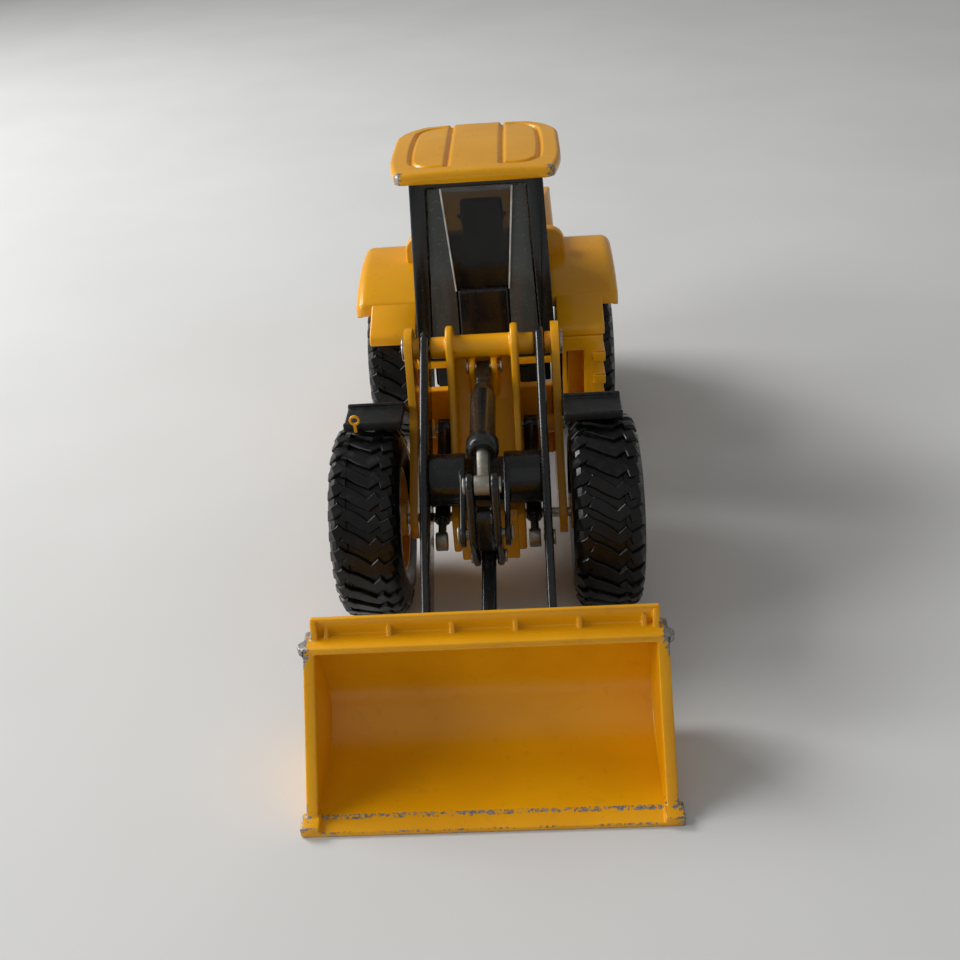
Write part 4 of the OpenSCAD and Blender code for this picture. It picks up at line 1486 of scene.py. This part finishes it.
@dataclass(frozen=True)
class RearBody:
    """Hood, fenders, platforms and deck of the painted rear casting."""

    sheet: float = 1.8
    outer_round: float = 3.4
    hood_half: float = 22.0
    hood_ahead: float = 4.4
    hood_round: float = 5.0
    bulkhead_out: float = 3.0
    bulkhead_l: float = 4.0
    room_half: float = 17.0
    deck_half: float = 19.0
    skirt_low: float = 39.2
    vents: int = 5
    vent_pitch: float = 5.2
    vent_w: float = 2.4
    past: float = 40.0

    @property
    def hood_base(self) -> float:
        """Height of the hood's lower edge."""
        return 2 * DATUM.tyre_r + 2.5

    @property
    def hood_front(self) -> float:
        """y of the hood's front end."""
        return DATUM.wheelbase - self.hood_ahead

    @property
    def wall_x(self) -> float:
        """x of the cab's outer side, where platforms and side walls start."""
        return DATUM.back(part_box("cab_shell")[1])[0] + 0.45

    def fender(self, side: Side) -> bpy.types.Object:
        """Models one fender as a grid that follows the tyre and rolls down at its outer edge.

        Args:
            side: Side of the machine.

        Returns:
            The fender with its wall thickness.
        """
        top = 2 * DATUM.tyre_r + 11.8
        wb = DATUM.wheelbase
        line = [(wb - 24.6, top - 9.2), (wb - 24.4, top - 7.2)]
        line += arc((wb - 22.3, top - 7.2), 2.1, 150, 110, 4)
        line += [(wb - 17, top - 2.9), (wb - 11.5, top - 1.5), (wb - 6, top - 0.55), (wb - 1.5, top)]
        line += arc((wb + 8, top - 13), 13, 88, 14, 10)
        line += [(wb + 23.6, top - 20.8)]
        inner = self.wall_x - 1.5
        outer = DATUM.tyre_in + DATUM.tyre_w + 0.6
        cells = {"x_subdivisions": 16, "y_subdivisions": len(line) - 1}
        piece = start(Stock.GRID, f"{side.word}_fender_pressing", size=2, **cells)
        settle(piece)
        middle = (wb, top - 22)

        def press(spot: Vector) -> Vector:
            """Moves one grid point to its place on the fender."""
            row = round((spot.y + 1) / 2 * (len(line) - 1))
            share = (spot.x + 1) / 2
            y, z = line[row]
            flat = outer - self.outer_round
            if share < 0.5:
                x, drop = blend(inner, flat, share / 0.5), 0.0
            else:
                turn = (share - 0.5) / 0.5 * RIGHT_ANGLE
                x = flat + self.outer_round * math.sin(turn)
                drop = self.outer_round * (1 - math.cos(turn))
            reach = math.hypot(y - middle[0], z - middle[1])
            scale = (reach - drop) / reach
            return DATUM.at(
                side.value * x, middle[0] + (y - middle[0]) * scale, middle[1] + (z - middle[1]) * scale
            )

        shape_points(piece, press)
        face_outwards(piece)
        up = sum(face.normal.z for face in piece.data.polygons)
        if up < 0:
            open_mesh(piece)
            bpy.ops.mesh.flip_normals()
            close_mesh()
        use_modifier(piece, "SOLIDIFY", thickness=self.sheet * MM, offset=-1, use_even_offset=True)
        return piece

    def hood(self) -> bpy.types.Object:
        """Models the hood as a rounded section drawn out to the rear.

        Returns:
            The hood with its vents.
        """
        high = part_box("rear_body")[1]
        rear, top = DATUM.back(high)[1:]
        front, base = self.hood_front, self.hood_base
        through = Vector((2 * self.past * MM, 0, 0))
        piece = self.hood_run("hood_casting", self.hood_half, front, rear)
        room_x, ceiling = self.room_half, top - 6.2
        inner = [(-room_x, base - 8), (-room_x, ceiling), (room_x, ceiling), (room_x, base - 8)]
        room = [DATUM.at(x, front + 2.2, z) for x, z in inner]
        cut_away(piece, draw_plate("room", room, Vector((0, (rear - front) * MM, 0))))
        for number in range(self.vents):
            y = DATUM.wheelbase + 17 + self.vent_pitch * number
            end = y + self.vent_w
            slot = side_view(-self.past, [(y, base + 3), (end, base + 3), (end, base + 9), (y, base + 9)])
            cut_away(piece, draw_plate("vent", slot, through))
        fall = [(rear - 22, top + 0.01), (rear + 2, top - 3.9), (rear + 2, top + 6), (rear - 22, top + 6)]
        cut_away(piece, draw_plate("fall", side_view(-self.past, fall), through))
        return piece

    def hood_run(self, name: str, half: float, start_y: float, end_y: float) -> bpy.types.Object:
        """Draws the hood's rounded section out from one place to another.

        Args:
            name: Name of the piece.
            half: Half of the section's width.
            start_y: Where it starts.
            end_y: Where it ends.

        Returns:
            A closed solid.
        """
        top = DATUM.back(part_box("rear_body")[1])[2]
        base, bend = self.hood_base, self.hood_round
        section = [(-half, base)] + arc((-half + bend, top - bend), bend, 180, 90, 8)
        section += arc((half - bend, top - bend), bend, 90, 0, 8) + [(half, base)]
        outline = [DATUM.at(x, start_y, z) for x, z in section]
        return draw_plate(name, outline, Vector((0, (end_y - start_y) * MM, 0)))

    def bulkhead(self) -> bpy.types.Object:
        """Models the wider wall between cab and hood, with rounded upper corners."""
        front = self.hood_front
        half = self.hood_half + self.bulkhead_out
        return self.hood_run("bulkhead_casting", half, front - 0.02, front + self.bulkhead_l)

    def platform(self, side: Side) -> bpy.types.Object:
        """Models the step beside the cab, which runs on from the fender towards the front.

        Args:
            side: Side of the machine.

        Returns:
            The platform with its turned-down lip.
        """
        top = 2 * DATUM.tyre_r + 10
        y0 = DATUM.wheelbase - 36.5
        seat_y = DATUM.wheelbase - 15.5
        outline = [(y0, top - 12), (y0 + 0.3, top - 9.8), (y0 + 1.4, top - 8.6), (seat_y - 2, top - 1.5)]
        outline += [(seat_y, top - 1.5), (seat_y, top - 3), (y0 + 2.6, top - 10.6), (y0 + 2, top - 12)]
        width = DATUM.tyre_in + DATUM.tyre_w * 0.75 - self.wall_x
        profile = side_view(side.value * self.wall_x, outline)
        return draw_plate(f"{side.word}_platform_casting", profile, Vector((side.value * width * MM, 0, 0)))

    def deck(self) -> bpy.types.Object:
        """Models the deck under the cab and the walls beside it.

        Returns:
            The joined casting.
        """
        front, base = DATUM.back(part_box("cab_shell")[0])[1:]
        rear = DATUM.back(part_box("rear_body")[1])[1]
        wb = DATUM.wheelbase
        low = self.hood_base
        half, slim, room_x = self.wall_x, self.deck_half, self.room_half
        corners = [(-half, front - 0.5), (half, front - 0.5), (half, front + 11), (slim, front + 11)]
        corners += [(slim, wb + 4), (-slim, wb + 4), (-slim, front + 11), (-half, front + 11)]
        plate = [DATUM.at(x, y, base - 2) for x, y in corners]
        parts = [draw_plate("deck_casting", plate, Vector((0, 0, 1.96 * MM)))]
        under = [DATUM.at(x, wb - 4, self.skirt_low) for x in (-slim, slim)]
        under += [DATUM.at(x, rear, self.skirt_low) for x in (slim, -slim)]
        skirt = draw_plate("hood_skirt", under, Vector((0, 0, (low - self.skirt_low) * MM)))
        inside = [(-room_x, wb - 2), (room_x, wb - 2), (room_x, wb + 60), (-room_x, wb + 60)]
        hollow = [DATUM.at(x, y, self.skirt_low - 1.2) for x, y in inside]
        cut_away(skirt, draw_plate("hollow", hollow, Vector((0, 0, 20 * MM))))
        parts.append(skirt)
        for side in Side:
            wall = [(wb - 36, base - 2), (wb - 36, 50.6), (wb - 20, 54.2), (wb + 8, 58.8), (wb + 8, low)]
            wall += [(wb - 20, low), (wb - 26, base - 2)]
            push = Vector((side.value * 1.15 * MM, 0, 0))
            parts.append(draw_plate("side_wall", side_view(side.value * half, wall), push))
        return gather("deck_casting", parts)

    def build(self) -> None:
        """Builds the casting's parts, which together stand for one node."""
        pieces = [(self.hood(), 0.5), (self.bulkhead(), 0.7), (self.deck(), 0.2)]
        for side in Side:
            pieces += [(self.fender(side), 0.35), (self.platform(side), 0.55)]
        for piece, width in pieces:
            ease_edges(piece, YELLOW, width, 3)
            dress(piece, YELLOW)
            mount(piece, "rear_chassis", ["rear_body"])


FRONT_PINS = ["lift_arm_pins", "lift_base_pins", "tilt_base_pin", "steering_pin"]
FRONT_PINS += ["front_base_screws", "front_axle"]


@dataclass(frozen=True)
class Castings:
    """Pieces whose CAD shape only needs eased edges and a finish."""

    def build(self) -> None:
        """Builds every such piece."""
        yellow = [("front_frame", 0.6), ("front_axle_block", 0.3), ("left_cheek_plate", 0.6)]
        yellow += [("right_cheek_plate", 0.6), ("marker_lamp_ring", 0.12)]
        for node, width in yellow:
            CastCopy(node, "front_chassis", YELLOW, width, 3).build()
        for node, width in (("access_ladder", 0.4), ("counterweight", 1.2)):
            CastCopy(node, "rear_chassis", YELLOW, width, 3).build()
        CastCopy("bucket", "bucket", BUCKET_YELLOW, 0.35, 3).build()
        for node in ("left_mudguard", "right_mudguard"):
            CastCopy(node, "front_chassis", GREY, 0.45, 3).build()
        CastCopy("rear_frame", "rear_chassis", GREY, 0.4).build()
        CastCopy("radiator_grille", "rear_chassis", GREY, 0.2).build()
        black = [("left_lift_arm", "lift_arms", 0.8), ("right_lift_arm", "lift_arms", 0.8)]
        black += [("torque_tube", "lift_arms", 0.4), ("bellcrank", "bellcrank", 0.7)]
        black += [("bucket_link", "bucket_link", 0.6), ("tilt_barrel", "tilt_barrel", 0.4)]
        black += [(f"{side.word}_lift_barrel", f"{side.word}_lift_barrel", 0.25) for side in Side]
        for node, body, width in black:
            CastCopy(node, body, BLACK, width, 3).build()
        steel = [("tilt_rod", "tilt_rod"), ("tilt_sleeve", "tilt_sleeve")]
        steel += [(f"{side.word}_lift_rod", f"{side.word}_lift_rod") for side in Side]
        for node, body in steel:
            CastCopy(node, body, OLD_STEEL, 0.25, 2).build()
        pins = {
            "front_chassis": FRONT_PINS,
            "rear_chassis": ["rear_axle", "rear_base_screws"],
            "lift_arms": ["lift_rod_rivets", "bellcrank_pin", "bucket_pins"],
            "bellcrank": ["bellcrank_rivets", "link_pin"],
            "bucket": ["bucket_link_rivets"],
        }
        for body, nodes in pins.items():
            for node in nodes:
                CastCopy(node, body, STEEL, 0.22, 3).build()


# ---- stage -------------------------------------------------------------------


@dataclass(frozen=True)
class Lamp:
    """One soft square lamp, in metres and watts."""

    name: str
    place: tuple[float, float, float]
    aim: tuple[float, float, float]
    size: float
    power: float

    def hang(self) -> None:
        """Adds the lamp to the scene and points it."""
        data = bpy.data.lights.new(self.name, "AREA")
        data.energy = self.power
        data.size = self.size
        lamp = bpy.data.objects.new(self.name, data)
        bpy.context.scene.collection.objects.link(lamp)
        lamp.location = self.place
        way = Vector(self.aim) - Vector(self.place)
        lamp.rotation_euler = way.to_track_quat("-Z", "Y").to_euler()


LAMPS = (
    Lamp("window", (-0.85, 0.40, 0.72), (0, 0, 0.03), size=0.55, power=10.5),
    Lamp("low_window", (-0.95, -0.30, 0.40), (0, -0.08, 0.02), size=0.4, power=4.5),
    Lamp("fill", (0.3, -0.9, 0.8), (0, 0, 0.03), size=1.2, power=0.7),
)


@dataclass(frozen=True)
class Stage:
    """Camera, floor and soft light."""

    camera_at: tuple[float, float, float] = (13.69, -248.35, 190.97)
    yaw: float = -0.062
    pitch: float = 0.557
    roll: float = -0.08
    lens: float = 42.44
    sky_strength: float = 0.29

    def camera(self) -> None:
        """Sets the camera at its place, turned by yaw, pitch and roll."""
        data = bpy.data.cameras.new("camera")
        data.lens = self.lens
        data.sensor_width = 36
        data.clip_start = 0.01
        camera = bpy.data.objects.new("camera", data)
        bpy.context.scene.collection.objects.link(camera)
        ahead = Vector((
            math.sin(self.yaw) * math.cos(self.pitch),
            math.cos(self.yaw) * math.cos(self.pitch),
            -math.sin(self.pitch),
        ))
        right = Vector((math.cos(self.yaw), -math.sin(self.yaw), 0))
        up = right.cross(ahead)
        tilted_right = math.cos(self.roll) * right + math.sin(self.roll) * up
        tilted_up = math.cos(self.roll) * up - math.sin(self.roll) * right
        turn = Matrix((tilted_right, tilted_up, -ahead)).transposed().to_4x4()
        camera.matrix_world = Matrix.Translation(DATUM.at(*self.camera_at)) @ turn
        bpy.context.scene.camera = camera

    def floor(self) -> None:
        """Lays a wide pale floor with a faint mottle."""
        ground = start(Stock.PLANE, "studio_floor", size=6.0)
        sheet = NodeSheet("pale_floor")
        cloud = sheet.noise(0.01, 2).above(0.5, 0.3)
        tone = sheet.mix(cloud, rgba(0.66, 0.66, 0.645), rgba(0.70, 0.70, 0.69))
        ground.data.materials.append(sheet.finish({"Base Color": tone, "Roughness": 0.85}))

    def build(self) -> None:
        """Sets the whole stage."""
        self.camera()
        self.floor()
        for lamp in LAMPS:
            lamp.hang()
        world = bpy.data.worlds.new("soft_room")
        world.use_nodes = True
        sky = world.node_tree.nodes["Background"]
        sky.inputs["Color"].default_value = rgba(0.90, 0.90, 0.90)
        sky.inputs["Strength"].default_value = self.sky_strength
        bpy.context.scene.world = world
        bpy.context.scene.view_settings.view_transform = "Standard"


def main() -> None:
    """Builds the stage and every sub-assembly."""
    logging.basicConfig(level=logging.INFO, format="%(name)s: %(message)s")
    Stage().build()
    for assembly in (Castings(), Wheels(), RearBody(), Roof(), Cab()):
        LOG.info("building %s", type(assembly).__name__)
        assembly.build()
    clear_bench()


if __name__ == "__main__":
    main()
